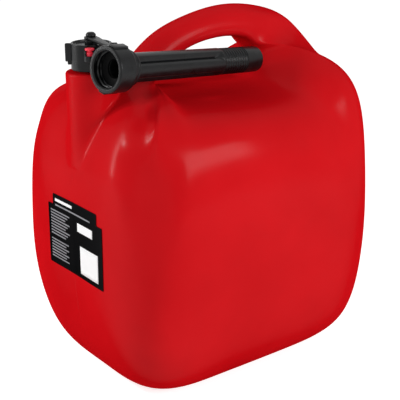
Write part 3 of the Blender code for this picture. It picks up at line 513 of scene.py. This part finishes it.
def canSurface():
    # each point is the sum of the net's points times their cubic weights, along and round the rings
    ringAt = np.concatenate([i + np.arange(n) / n for i, n in enumerate(ringSamples)])
    pointAt = np.concatenate([i + np.arange(n) / n for i, n in enumerate(pointSamples)])
    # more samples on both sides of the parting line, which runs along points 0 and 7
    beside = np.array([-0.03, -0.012, 0.012, 0.03])
    pointAt = np.concatenate([pointAt, pointCount / 2 + beside, beside % pointCount])
    pointAt = np.unique(pointAt.round(6))
    weights = cubicWeights(ringCount, ringAt), cubicWeights(pointCount, pointAt)
    surface = np.einsum("ai,bj,ijk->abk", *weights, canNet())
    # the turret, on rays from a point on its axis: its wall is at radius / sideways part of the ray,
    # its ceiling at height / upward part, and the larger of body and turret is kept, blended
    leastPart = 0.02
    heart = np.array([can["neckX"], 0, can["turretHeart"]])
    ray = surface - heart
    reach = np.linalg.norm(ray, axis=2)
    sideways = np.hypot(ray[..., 0], ray[..., 1]) / reach
    upward = ray[..., 2] / reach
    wall = (can["turretRadius"] - can["turretCover"]) / np.maximum(sideways, leastPart)
    top = can["turretTop"] - can["turretCeiling"] - can["turretHeart"]
    ceiling = top / np.maximum(upward, leastPart)
    turret = -softMax(-wall, -ceiling, can["ceilingBlend"]) * smoothStep(-0.92, -0.75, upward)
    surface = heart + ray / reach[..., None] * softMax(reach, turret, can["turretBlend"])[..., None]
    # the parting line of the mould, along the middle plane: height exp(-(y / half width)^2)
    ridge = np.exp(-(surface[..., 1] / (can["seamWidth"] / 2)) ** 2) * can["seamHeight"]
    surface = surface + gridNormals(surface) * ridge[..., None]
    # nothing lies below the ground
    surface[..., 2] = softMax(surface[..., 2], 0 * surface[..., 2], can["footRound"])
    return surface


canShell = newPiece("can_shell", [(canSurface(), True, True)], redPlastic, "can", ("can_body",),
                    60)

neckAxis = Matrix.Translation((can["neckX"], 0, 0))
neck = {
    "radius": 0.0148, "bore": 0.0122, "top": 0.3452, "fillet": 0.0024, "boreDepth": 0.05,
    "skirtBend": 0.014, "skirt": 0.026, "skirtTaper": 0.0012,
    "pitch": 0.004, "threadHeight": 0.0011, "threadLow": 0.3287, "threadHigh": 0.337,
}


def helicalRidge(angle, z, low, high, pitch, height):
    # a rounded thread: its middle climbs a pitch in each turn, so z - low - pitch a / 2 pi is taken
    # to the nearest whole turn, and the ridge falls off smoothly between the two half widths
    crest, foot = 0.0004, 0.0009
    turnAt = (z - low) / pitch - angle / (2 * math.pi)
    offset = np.abs(turnAt - np.round(turnAt)) * pitch
    ends = smoothStep(low, low + pitch / 2, z) * (1 - smoothStep(high - pitch / 2, high, z))
    return height * (1 - smoothStep(crest, foot, offset)) * ends


def makeNeck():
    # a profile from the floor of the bore over the lip and down the skirt, turned round the axis
    wide, top = can["turretRadius"], can["turretTop"]
    line = roundedLine([
        (0, top - neck["boreDepth"], 0), (neck["bore"], top - neck["boreDepth"], 0),
        (neck["bore"], neck["top"], 0.0005), (neck["radius"], neck["top"], 0.0006),
        (neck["radius"], top, 0.0008), (wide, top, neck["fillet"]),
        (wide, top - neck["skirtBend"], 0.01),
        (wide - neck["skirtTaper"], top - neck["skirt"], 0), (0, top - neck["skirt"], 0)], steps=8)

    def threaded(angle, radius, z):
        outside = np.abs(radius - neck["radius"]) < 0.0002
        return radius + np.where(outside, helicalRidge(
            angle, z, neck["threadLow"], neck["threadHigh"], neck["pitch"], neck["threadHeight"]), 0)

    points = placed(turned(refined(line, 0.0005), 144, threaded), neckAxis)
    newPiece("can_neck", [(points, False, True)], redPlastic, "can", ("can_body",))


makeNeck()
print("can done")


cap = {
    "radius": 0.0194, "bottom": 0.3273, "ceiling": 0.3479, "top": 0.3503, "rimTop": 0.3525,
    "bore": 0.0166, "hole": 0.0043, "rimWidth": 0.0026, "edge": 0.001,
    "lugSize": (0.0104, 0.0054, 0.0168), "lugStep": (0.0062, 0.005, 0.008),
    "lugBearings": (147.0, 327.0), "lugDrop": 0.0009, "stepDrop": 0.003, "lugEdge": 0.0009,
    "lockBearing": 235.0, "lockOffset": 0.0222, "housingRadius": 0.0052, "wellRadius": 0.0037,
    "housingLow": 0.3379, "housingTop": 0.3484, "wallSink": 0.001, "lockFloor": 0.3428,
    "sill": 0.3437, "windowHalf": 49.0, "notchRadius": 0.0047,
}
lockTurn = math.radians(cap["lockBearing"])
lockPlace = Vector((can["neckX"] + cap["lockOffset"] * math.cos(lockTurn),
                    cap["lockOffset"] * math.sin(lockTurn), 0))


def arcWall(inner, outer, low, high, first, last, edge, steps=40):
    # a rounded rectangle in (radius, height) carried round Z from one bearing to the other, and drawn
    # in to its middle over the last three steps at either end
    section = roundedLine([(inner, low, edge), (outer, low, edge), (outer, high, edge),
                           (inner, high, edge)], True, 4)
    middle = section.mean(0)
    closing = [0, 0.75, 0.94]
    shares = np.array(closing + [1] * (steps - 2) + closing[::-1])[:, None, None]
    angle = np.linspace(math.radians(first), math.radians(last), len(shares))[:, None]
    line = middle + (section - middle) * shares
    return np.stack([line[..., 0] * np.cos(angle), line[..., 0] * np.sin(angle), line[..., 1]], -1)


def makeCap():
    # a profile turned round the axis, with two rounded blocks for each grip lug, and the housing of
    # the lock: an arc of wall over a turned foot
    notch = cap["housingTop"]
    inside = cap["radius"] - cap["rimWidth"]
    shell = roundedLine([
        (cap["hole"], cap["top"], 0.0003), (inside, cap["top"], 0.0008),
        (inside + 0.0004, cap["rimTop"], 0.0005),
        (cap["radius"], cap["rimTop"], cap["edge"]), (cap["radius"], notch + 0.0001, 0),
        (cap["radius"], notch - 0.0001, 0), (cap["radius"], cap["bottom"], cap["edge"]),
        (cap["bore"], cap["bottom"], 0.0003), (cap["bore"], cap["ceiling"], 0.0004),
        (cap["hole"], cap["ceiling"], 0.0002)], True)

    def notched(angle, radius, z):
        # the head of the lock needs room: where a circle round it meets the wall, the wall's
        # radius is d cos a - (n^2 - d^2 sin^2 a)^0.5, with the angle a from the lock
        away = angle - lockTurn % (2 * math.pi)
        across = cap["lockOffset"] * np.sin(away)
        room = cap["notchRadius"] ** 2 - across ** 2
        limit = cap["lockOffset"] * np.cos(away) - np.sqrt(np.maximum(room, 0))
        cutting = (room > 0) & (np.cos(away) > 0) & (z > notch) & (radius > limit)
        return np.where(cutting, limit, radius)

    grids = [(placed(turned(refined(shell, 0.0015, True), 240, notched), neckAxis), True, True)]
    lugLow = cap["rimTop"] - cap["lugDrop"] - cap["lugSize"][2]
    for bearing in cap["lugBearings"]:
        for size, low in ((cap["lugSize"], lugLow), (cap["lugStep"], lugLow - cap["stepDrop"])):
            place = neckAxis @ Matrix.Rotation(math.radians(bearing), 4, 'Z') @ Matrix.Translation(
                (cap["radius"], 0, low + size[2] / 2))
            grids.append((placed(roundedBlock(size, cap["lugEdge"]), place), False, True))
    housingPlace = Matrix.Translation(lockPlace) @ Matrix.Rotation(lockTurn, 4, 'Z')
    wall = arcWall(cap["wellRadius"], cap["housingRadius"], cap["housingLow"] + cap["wallSink"],
                   cap["housingTop"], cap["windowHalf"], 360 - cap["windowHalf"], 0.0004)
    grids.append((placed(wall, housingPlace), False, True))
    foot = roundedLine([
        (0, cap["lockFloor"], 0), (cap["wellRadius"], cap["lockFloor"], 0.0002),
        (cap["wellRadius"], cap["sill"], 0.0003), (cap["housingRadius"], cap["sill"], 0.0004),
        (cap["housingRadius"], cap["housingLow"], 0.0012), (0, cap["housingLow"], 0)])
    grids.append((placed(turned(foot, 48), housingPlace), False, True))
    newPiece("cap_shell", grids, blackPlastic, "cap", ("screw_cap",))


# heights up the axis of the cap; the stem is what the cap and the strap turn on
knob = {
    "top": 0.3622, "dome": 0.0048, "domeLow": 0.3582, "domeRound": 0.0024, "stem": 0.004,
    "collar": 0.0061, "collarTop": 0.3548, "collarLow": 0.3506,
    "snap": 0.0056, "snapTop": 0.3476, "snapLow": 0.3458,
}


def makeKnob():
    # a profile from the crown of the dome down to the snap end, turned round the axis
    stem, collar, dome, fillet = knob["stem"], knob["collar"], knob["dome"], knob["domeRound"]
    line = roundedLine([
        (0, knob["top"], 0), (dome * 0.6, knob["top"] - 0.0002, fillet),
        (dome, knob["top"] - 0.002, fillet), (dome, knob["domeLow"], 0.0006),
        (stem, knob["domeLow"], 0.0002), (stem, knob["collarTop"], 0.0002),
        (collar, knob["collarTop"], 0.0003), (collar, knob["collarLow"], 0.0003),
        (stem, knob["collarLow"], 0.0002), (stem, knob["snapTop"], 0.0002),
        (knob["snap"], knob["snapTop"], 0.0003), (stem, knob["snapLow"], 0.0003),
        (0, knob["snapLow"], 0)])
    points = placed(turned(line, 96), neckAxis)
    newPiece("knob_turned", [(points, False, True)], blackPlastic, "swivel", ("swivel_knob",))


# a push pin: a flat head above the housing, a waist, and the thicker foot seen in the window
lock = {"headRadius": 0.0044, "headHeight": 0.002, "waist": 0.0025, "waistHeight": 0.0012,
        "shoulder": 0.0008, "radius": 0.0034, "height": 0.0056, "gap": 0.0003}


def makeLock():
    # a profile from the head down to the foot, turned round the axis of the well
    low = cap["lockFloor"] + lock["gap"]
    head = low + lock["height"]
    under = head - lock["waistHeight"]
    line = roundedLine([
        (0, head + lock["headHeight"], 0), (lock["headRadius"], head + lock["headHeight"], 0.0006),
        (lock["headRadius"], head, 0.0005), (lock["waist"], head, 0.0003),
        (lock["waist"], under, 0.0005), (lock["radius"], under - lock["shoulder"], 0.0006),
        (lock["radius"], low, 0.0005), (0, low, 0)])
    points = placed(turned(line, 64), Matrix.Translation(lockPlace))
    newPiece("lock_pin", [(points, False, True)], lockPlastic, "lock", ("lock_button",))


makeCap()
makeKnob()
makeLock()
print("cap, knob and lock done")


# yaw and dip in degrees aim the axis; lengths along it start at the mouth of the nut
spout = {
    "yaw": 9.6, "dip": 5.2, "mouth": (-0.15058, -0.060599, 0.338775), "clearance": 0.0003,
    "nutRadius": 0.0212, "nutLength": 0.02, "nutBore": 0.0166, "nutRearWall": 0.0034,
    "nutLug": (0.003, 0.0078, 0.0172), "nutLugBearings": (-75.0, 105.0), "nutLugStart": 0.0014,
    "nutLugEdge": 0.0009, "threadStart": 0.0022, "threadEnd": 0.0108, "pitch": 0.004,
    "threadHeight": 0.0012,
    "tubeRadius": 0.0135, "tubeBore": 0.0088, "flangeStart": 0.0133, "flangeEnd": 0.0163,
    "flangeRadius": 0.0163, "collarStart": 0.0258, "collarHeight": 0.003,
    "tubeStart": 0.0288, "tubeEnd": 0.14759, "spigotRadius": 0.0104, "spigotEnd": 0.16559,
    "fluteBearing": 57.0, "fluteHalfWidth": 0.0052, "fluteDepth": 0.0043, "fluteStart": 0.0312,
    "fluteEnd": 0.1452, "spoonLength": 0.0115, "fluteRunIn": 0.004, "flutePower": 0.7,
    "fluteBlend": 0.12,
    "nozzleStart": 0.14789, "nozzleEnd": 0.20539, "nozzleRadius": 0.0132, "tipRadius": 0.0129,
    "tipLength": 0.012, "ribStart": 0.0015, "ribPitch": 0.0036, "ribCount": 9, "ribHeight": 0.0008,
    "ribPower": 1.5, "ribFade": 0.0004,
}
spoutAim = Vector((math.cos(math.radians(spout["dip"])) * math.cos(math.radians(spout["yaw"])),
                   math.cos(math.radians(spout["dip"])) * math.sin(math.radians(spout["yaw"])),
                   -math.sin(math.radians(spout["dip"]))))
spoutAxis = Matrix.Translation(spout["mouth"]) @ spoutAim.to_track_quat('Z', 'Y').to_matrix().to_4x4()


def makeNut():
    # a profile round the spout's axis, threaded inside, with a rounded block for each lug
    wide, long, bore = spout["nutRadius"], spout["nutLength"], spout["nutBore"]
    hole = spout["tubeRadius"] + spout["clearance"]
    line = roundedLine([
        (wide, long, 0.002), (wide, 0, 0.0016), (bore + 0.0012, 0, 0.0004), (bore, 0.0012, 0.0004),
        (bore, long - spout["nutRearWall"], 0.0006), (hole, long - spout["nutRearWall"], 0.0003),
        (hole, long, 0.0004)], True)

    def threaded(angle, radius, z):
        inside = np.abs(radius - bore) < 0.0002
        return radius - np.where(inside, helicalRidge(
            angle, z, spout["threadStart"], spout["threadEnd"], spout["pitch"],
            spout["threadHeight"]), 0)

    grids = [(placed(turned(refined(line, 0.0004, True), 144, threaded), spoutAxis), True, True)]
    for bearing in spout["nutLugBearings"]:
        place = spoutAxis @ Matrix.Rotation(math.radians(bearing), 4, 'Z') @ Matrix.Translation(
            (wide, 0, spout["nutLugStart"] + spout["nutLug"][2] / 2))
        grids.append((placed(roundedBlock(spout["nutLug"], spout["nutLugEdge"]), place), False, True))
    newPiece("nut_shell", grids, blackPlastic, "nut", ("spout_nut",))


def makeTube():
    # a profile round the spout's axis, with four flutes pressed into its outside
    r, bore = spout["tubeRadius"], spout["tubeBore"]
    collar = r + spout["collarHeight"]
    line = roundedLine([
        (r, spout["tubeEnd"], 0.0008), (r, spout["tubeStart"] + 0.0002, 0.0006),
        (collar, spout["tubeStart"], 0.001), (collar, spout["collarStart"], 0.0008),
        (r, spout["collarStart"], 0.0003), (r, spout["flangeEnd"], 0.0003),
        (spout["flangeRadius"], spout["flangeEnd"], 0.0004),
        (spout["flangeRadius"], spout["flangeStart"], 0.0004), (bore, spout["flangeStart"], 0.0004),
        (bore, spout["spigotEnd"], 0.0004), (spout["spigotRadius"], spout["spigotEnd"], 0.0006),
        (spout["spigotRadius"], spout["tubeEnd"], 0.0003)], True)

    def fluted(angle, radius, z):
        # a pinched V, 1 - (aside / w)^0.7, no deeper than a slope of its own at either end
        quarter = math.pi / 2
        turnBy = math.radians(spout["fluteBearing"]) - quarter / 2
        aside = np.abs((angle - turnBy + 0 * z) % quarter - quarter / 2) * r / spout["fluteHalfWidth"]
        groove = 1 - np.minimum(aside, 1) ** spout["flutePower"]
        ramp = np.minimum((spout["fluteEnd"] - z) / spout["spoonLength"],
                          (z - spout["fluteStart"]) / spout["fluteRunIn"])
        depth = -softMax(-groove, -np.clip(ramp, 0, 1), spout["fluteBlend"])
        outside = (radius > r - 0.0006) & (z > spout["tubeStart"] + 0.001) & (z < spout["tubeEnd"])
        return radius - np.where(outside, spout["fluteDepth"] * np.maximum(depth, 0), 0)

    points = placed(turned(refined(line, 0.001, True), 192, fluted), spoutAxis)
    newPiece("tube_fluted", [(points, True, True)], blackPlastic, "spout", ("spout_tube",))


def makeNozzle():
    # a profile round the spout's axis, with grooves between the ribs
    start, end, bore = spout["nozzleStart"], spout["nozzleEnd"], spout["tubeBore"]
    socket = spout["spigotRadius"] + spout["clearance"]
    floor = spout["spigotEnd"] + spout["clearance"]
    line = roundedLine([
        (spout["tipRadius"], end, 0.0012), (spout["nozzleRadius"], end - spout["tipLength"], 0.004),
        (spout["nozzleRadius"], start, 0.0007), (socket, start, 0.0003), (socket, floor, 0.0003),
        (bore, floor, 0.0003), (bore, end, 0.0006)], True)

    def ribbed(angle, radius, z):
        # grooves h |cos(pi t)|^1.5 deep, with t in pitches from the first groove
        low = start + spout["ribStart"]
        high = low + spout["ribCount"] * spout["ribPitch"]
        groove = np.abs(np.cos(math.pi * (z - low) / spout["ribPitch"])) ** spout["ribPower"]
        fade = spout["ribFade"]
        zone = smoothStep(low - fade, low, z) * (1 - smoothStep(high, high + fade, z))
        outside = radius > spout["nozzleRadius"] - 0.0004
        return radius - np.where(outside, spout["ribHeight"] * groove * zone, 0)

    points = placed(turned(refined(line, 0.00025, True), 128, ribbed), spoutAxis)
    newPiece("nozzle_ribbed", [(points, True, True)], blackPlastic, "spout", ("spout_nozzle",))


makeNut()
makeTube()
makeNozzle()
print("spout done")


strap = {
    "bottom": 0.3551, "thickness": 0.0028, "width": 0.0105, "eyelet": 0.0064, "hole": 0.0043,
    "bearing": -90.7, "reach": 0.0568, "drop": 0.0042, "edge": 0.0008, "start": 0.0045,
    "bend": 0.0236, "bendRadius": 0.014, "past": 0.004, "narrowAt": 0.62, "narrowShare": 1.1,
    "endShare": 0.98, "ringWidth": 0.0052, "ringBore": 0.0138, "ringRadius": 0.017,
    "ringMiddle": 0.0229, "ringGap": 0.0003,
}


def makeStrap():
    # two turned rings, the eyelet round the knob and the ring round the spout, and the arm between
    low, high = strap["bottom"], strap["bottom"] + strap["thickness"]
    edge = strap["edge"]
    eyelet = roundedLine([(strap["eyelet"], high, edge), (strap["eyelet"], low, edge),
                          (strap["hole"], low, 0.0003), (strap["hole"], high, 0.0003)], True)
    half = strap["ringWidth"] / 2
    band = roundedLine([(strap["ringRadius"], half, edge), (strap["ringRadius"], -half, edge),
                        (strap["ringBore"], -half, 0.0003), (strap["ringBore"], half, 0.0003)], True)
    ringPlace = spoutAxis @ Matrix.Translation((0, 0, strap["ringMiddle"]))
    grids = [(placed(turned(eyelet, 72), neckAxis), True, True),
             (placed(turned(band, 120), ringPlace), True, True)]
    # the arm: a rounded bar carried along a line from the eyelet, behind the nut, to the ring, with
    # its section at line + side * across and middle + upward
    ringTop = np.array(ringPlace.translation)[:2]
    outward = math.radians(spout["yaw"] - 90)
    forward = np.array([math.cos(outward), math.sin(outward)])
    along = np.array([-forward[1], forward[0]])
    ringTop = ringTop + along * (strap["ringRadius"] + strap["ringGap"]) * math.tan(
        math.radians(spout["dip"]))
    neckPlace = np.array([can["neckX"], 0])
    toRing = (ringTop - neckPlace) / np.linalg.norm(ringTop - neckPlace)
    start = neckPlace + toRing * strap["start"]
    bend = ringTop - forward * strap["bend"]
    end = ringTop + forward * strap["past"]
    line = roundedLine([(*start, 0), (*bend, strap["bendRadius"]), (*end, 0)], steps=16)
    line = refined(line, 0.0012)
    length = np.concatenate([[0], np.cumsum(np.linalg.norm(np.diff(line, axis=0), axis=1))])
    aim = np.gradient(line, axis=0)
    aim /= np.linalg.norm(aim, axis=1, keepdims=True)
    side = np.stack([aim[:, 1], -aim[:, 0]], 1)
    wide = np.interp(length, [0, length[-1] * strap["narrowAt"], length[-1]],
                     [strap["width"], strap["ringWidth"] * strap["narrowShare"],
                      strap["ringWidth"] * strap["endShare"]])
    corner = 0.3
    square = roundedLine([(x, y, corner) for x, y in ((1, 1), (1, -1), (-1, -1), (-1, 1))], True, 4)
    beyond = (square - np.sign(square) * (1 - corner)) / corner * edge
    across = np.sign(square[:, 0]) * (wide[:, None] / 2 - edge) + beyond[:, 0]
    upward = np.sign(square[:, 1]) * (strap["thickness"] / 2 - edge) + beyond[:, 1]
    # it falls evenly from the edge of the eyelet to the top of the ring
    bearing = math.radians(strap["bearing"])
    out = (line - neckPlace) @ np.array([math.cos(bearing), math.sin(bearing)]) - strap["eyelet"]
    fall = strap["drop"] * np.maximum(out, 0) / (strap["reach"] - strap["eyelet"])
    middle = (low + high) / 2 - fall[:, None]
    arm = np.stack([line[:, :1] + side[:, :1] * across, line[:, 1:] + side[:, 1:] * across,
                    middle + upward[None, :] + 0 * across], -1)
    ends = arm.mean(1, keepdims=True) + 0 * arm
    grids.append((np.concatenate([ends[:1], arm, ends[-1:]]), False, True))
    newPiece("strap_band", grids, blackPlastic, "strap", ("tether_strap",))


makeStrap()
print("strap done")


# the sticker and the plain bars and panels printed on it, which are (left, right, low, high) in mm
# from its lower left corner
label = {
    "width": 0.101, "height": 0.0755, "topWidth": 0.082, "topHeight": 0.0115, "middleZ": 0.162,
    "middleY": -0.004, "lift": 0.00035, "thickness": 0.00018, "corner": 0.0012,
    "inkGap": 0.00006, "inkThickness": 0.00002, "startX": -0.2,
    "whiteBars": [(14, 46, 68.2, 71.2), (56, 84, 48, 57), (60, 93, 5, 34)],
    "greyBars": [(14, 80, 63.6, 65.2)],
}
label["greyBars"] += [(5, 41 - 4 * (row % 3), 57 - 3.1 * row, 58.4 - 3.1 * row) for row in range(9)]
label["greyBars"] += [(5, 38 - 5 * (row % 2), 26 - 3.1 * row, 27.4 - 3.1 * row) for row in range(7)]


def wrapped(piece, lift, thickness):
    # carried along X on to the can, lifted off it and given its thickness
    wrap = piece.modifiers.new("On the can", 'SHRINKWRAP')
    wrap.target = canShell
    wrap.wrap_method = 'PROJECT'
    wrap.use_project_x, wrap.use_project_y, wrap.use_project_z = True, False, False
    wrap.use_positive_direction, wrap.use_negative_direction = True, False
    raised = piece.modifiers.new("Clear of the can", 'DISPLACE')
    raised.direction, raised.mid_level, raised.strength = 'X', 0, -lift
    skin = piece.modifiers.new("Thickness", 'SOLIDIFY')
    skin.thickness, skin.offset = thickness, 1
    graph = bpy.context.evaluated_depsgraph_get()
    mesh = bpy.data.meshes.new_from_object(piece.evaluated_get(graph), depsgraph=graph)
    piece.modifiers.clear()
    piece.data = mesh


def makeLabel():
    # a sheet before the can: at each height, y = middle + half width times -1 to 1. The half width
    # is rounded at the bottom, at the step and at the top by r (1 - cos b) and r (1 - sin b)
    low = label["middleZ"] - label["height"] / 2
    high = low + label["height"]
    step = high - label["topHeight"]
    r = label["corner"]
    bend = np.linspace(0, math.pi / 2, 5)
    wide, narrow = label["width"] / 2, label["topWidth"] / 2
    z = np.concatenate([
        low + r * (1 - np.cos(bend)), np.linspace(low + 2 * r, step - 2 * r, 40),
        step - r + r * np.sin(bend), step + r * 0.02 + r * (1 - np.cos(bend)),
        np.linspace(step + 2 * r, high - 2 * r, 8), high - r + r * np.sin(bend)])
    half = np.concatenate([
        wide - r + r * np.sin(bend), np.full(40, wide), wide - r + r * np.cos(bend),
        narrow + r * (1 - np.sin(bend)), np.full(8, narrow), narrow - r + r * np.cos(bend)])
    across = np.linspace(-1, 1, 48)[None, :]
    y = label["middleY"] + half[:, None] * across
    points = np.stack([0 * y + label["startX"], y, z[:, None] + 0 * y], -1)
    sheet = newPiece("label_film", [(points, False, False)], stickerFilm, "can", ("front_label",))
    wrapped(sheet, label["lift"], label["thickness"])


def flatBar(left, right, low, high, columns=14, rows=8):
    # a patch of the plane before the can: y evenly from left to right, z evenly from low to high
    across, up = np.linspace(0, 1, columns)[None, :], np.linspace(0, 1, rows)[:, None]
    y = label["middleY"] - (left + (right - left) * across) + 0 * up
    return np.stack([0 * y + label["startX"], y, low + (high - low) * up + 0 * across], -1)


def makePrint(name, bars, material):
    # one flat bar for each row of the list, moved from the corner of the sticker to its middle
    middle = label["width"] / 2
    bottom = label["middleZ"] - label["height"] / 2
    grids = []
    for bar in bars:
        left, right, low, high = [value / 1000 for value in bar]
        points = flatBar(left - middle, right - middle, bottom + low, bottom + high)
        grids.append((points, False, False))
    ink = newPiece(name, grids, material, "can", ())
    wrapped(ink, label["lift"] + label["thickness"] + label["inkGap"], label["inkThickness"])


makeLabel()
makePrint("label_print_white", label["whiteBars"], whiteInk)
makePrint("label_print_grey", label["greyBars"], greyInk)
print("label done")

for nodeName in ("cap_seal", "spout_washer"):
    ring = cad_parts[nodeName]
    ring.data.materials.clear()
    ring.data.materials.append(sealRubber)
print("rings done")


studio = {
    "floorColour": "#f2f2f2", "floorHalf": 4, "floorGlow": 0.72, "worldStrength": 0.34,
    "azimuth": 37.5075, "elevation": 19.04, "cameraPlace": (-0.5940, -0.7756, 0.5064), "lens": 86.5,
    "middle": (-0.03, -0.03, 0.2),
    "lamps": [  # name, bearing and height in degrees, distance, width, height, power
        ("right_box", -69, 20, 1.7, 0.74, 0.5, 15.0),
        ("left_strip", 139, 20, 1.7, 0.1, 1.3, 12.0),
        ("left_spot", 148, 34, 1.7, 0.14, 0.14, 4.6),
        ("front_fill", -140, 16, 1.7, 1.8, 1.2, 4.2),
    ],
}


def backdropRays(tree):
    # 1 for what the camera, a reflection or a clear piece sees, 0 for light that falls on the object
    light = addNode(tree, "ShaderNodeLightPath").outputs
    seen = addNode(tree, "ShaderNodeMath", {"operation": 'MAXIMUM'}, {
        0: light["Is Camera Ray"], 1: light["Is Glossy Ray"]})
    return addNode(tree, "ShaderNodeMath", {"operation": 'MAXIMUM'}, {
        0: seen.outputs[0], 1: light["Is Transmission Ray"]}).outputs[0]


def makeStage():
    # one flat square on the ground, far larger than what the camera sees
    half = studio["floorHalf"]
    mesh = bpy.data.meshes.new("floor")
    mesh.from_pydata([(-half, -half, 0), (half, -half, 0), (half, half, 0), (-half, half, 0)], [],
                     [(0, 1, 2, 3)])
    floor = bpy.data.objects.new("floor", mesh)
    scene.collection.objects.link(floor)
    material, tree = newMaterial("pale_floor")[:2]
    plain = addNode(tree, "ShaderNodeBsdfDiffuse", inputs={
        "Color": linearColour(studio["floorColour"])})
    glow = addNode(tree, "ShaderNodeEmission", inputs={"Strength": studio["floorGlow"]})
    both = addNode(tree, "ShaderNodeAddShader", inputs={0: plain.outputs[0], 1: glow.outputs[0]})
    shown = addNode(tree, "ShaderNodeMixShader", inputs={
        0: backdropRays(tree), 1: plain.outputs[0], 2: both.outputs[0]})
    finishMaterial(tree, shown)
    mesh.materials.append(material)


def makeWorld():
    # white where it is seen, dimmer where it lights the object
    world = bpy.data.worlds.new("studio")
    scene.world = world
    world.use_nodes = True
    tree = world.node_tree
    tree.nodes.clear()
    soft, white = [addNode(tree, "ShaderNodeBackground", inputs={
        "Color": (1, 1, 1, 1), "Strength": strength}) for strength in (studio["worldStrength"], 1.0)]
    shown = addNode(tree, "ShaderNodeMixShader", inputs={
        0: backdropRays(tree), 1: soft.outputs[0], 2: white.outputs[0]})
    addNode(tree, "ShaderNodeOutputWorld", inputs={"Surface": shown.outputs[0]})


def makeLamps():
    # each lamp faces the middle from (cos a cos e, sin a cos e, sin e) times its distance
    for name, bearing, height, distance, width, tall, power in studio["lamps"]:
        a, e = math.radians(bearing), math.radians(height)
        outward = Vector((math.cos(a) * math.cos(e), math.sin(a) * math.cos(e), math.sin(e)))
        data = bpy.data.lights.new(name, 'AREA')
        data.shape, data.size, data.size_y, data.energy = 'RECTANGLE', width, tall, power
        lamp = bpy.data.objects.new(name, data)
        scene.collection.objects.link(lamp)
        lamp.location = Vector(studio["middle"]) + outward * distance
        lamp.rotation_euler = outward.to_track_quat('Z', 'Y').to_euler()


def makeCamera():
    # it looks along (sin a cos e, cos a cos e, -sin e), with its long side level
    a, e = math.radians(studio["azimuth"]), math.radians(studio["elevation"])
    back = Vector((-math.sin(a) * math.cos(e), -math.cos(a) * math.cos(e), math.sin(e)))
    right = Vector((math.cos(a), -math.sin(a), 0))
    up = back.cross(right)
    data = bpy.data.cameras.new("camera")
    data.sensor_width, data.lens = 36, studio["lens"]
    camera = bpy.data.objects.new("camera", data)
    scene.collection.objects.link(camera)
    turn = Matrix((right, up, back)).transposed().to_4x4()
    camera.matrix_world = Matrix.Translation(studio["cameraPlace"]) @ turn
    scene.camera = camera


makeStage()
makeWorld()
makeLamps()
makeCamera()
scene.view_settings.view_transform = 'Standard'
print("stage done")
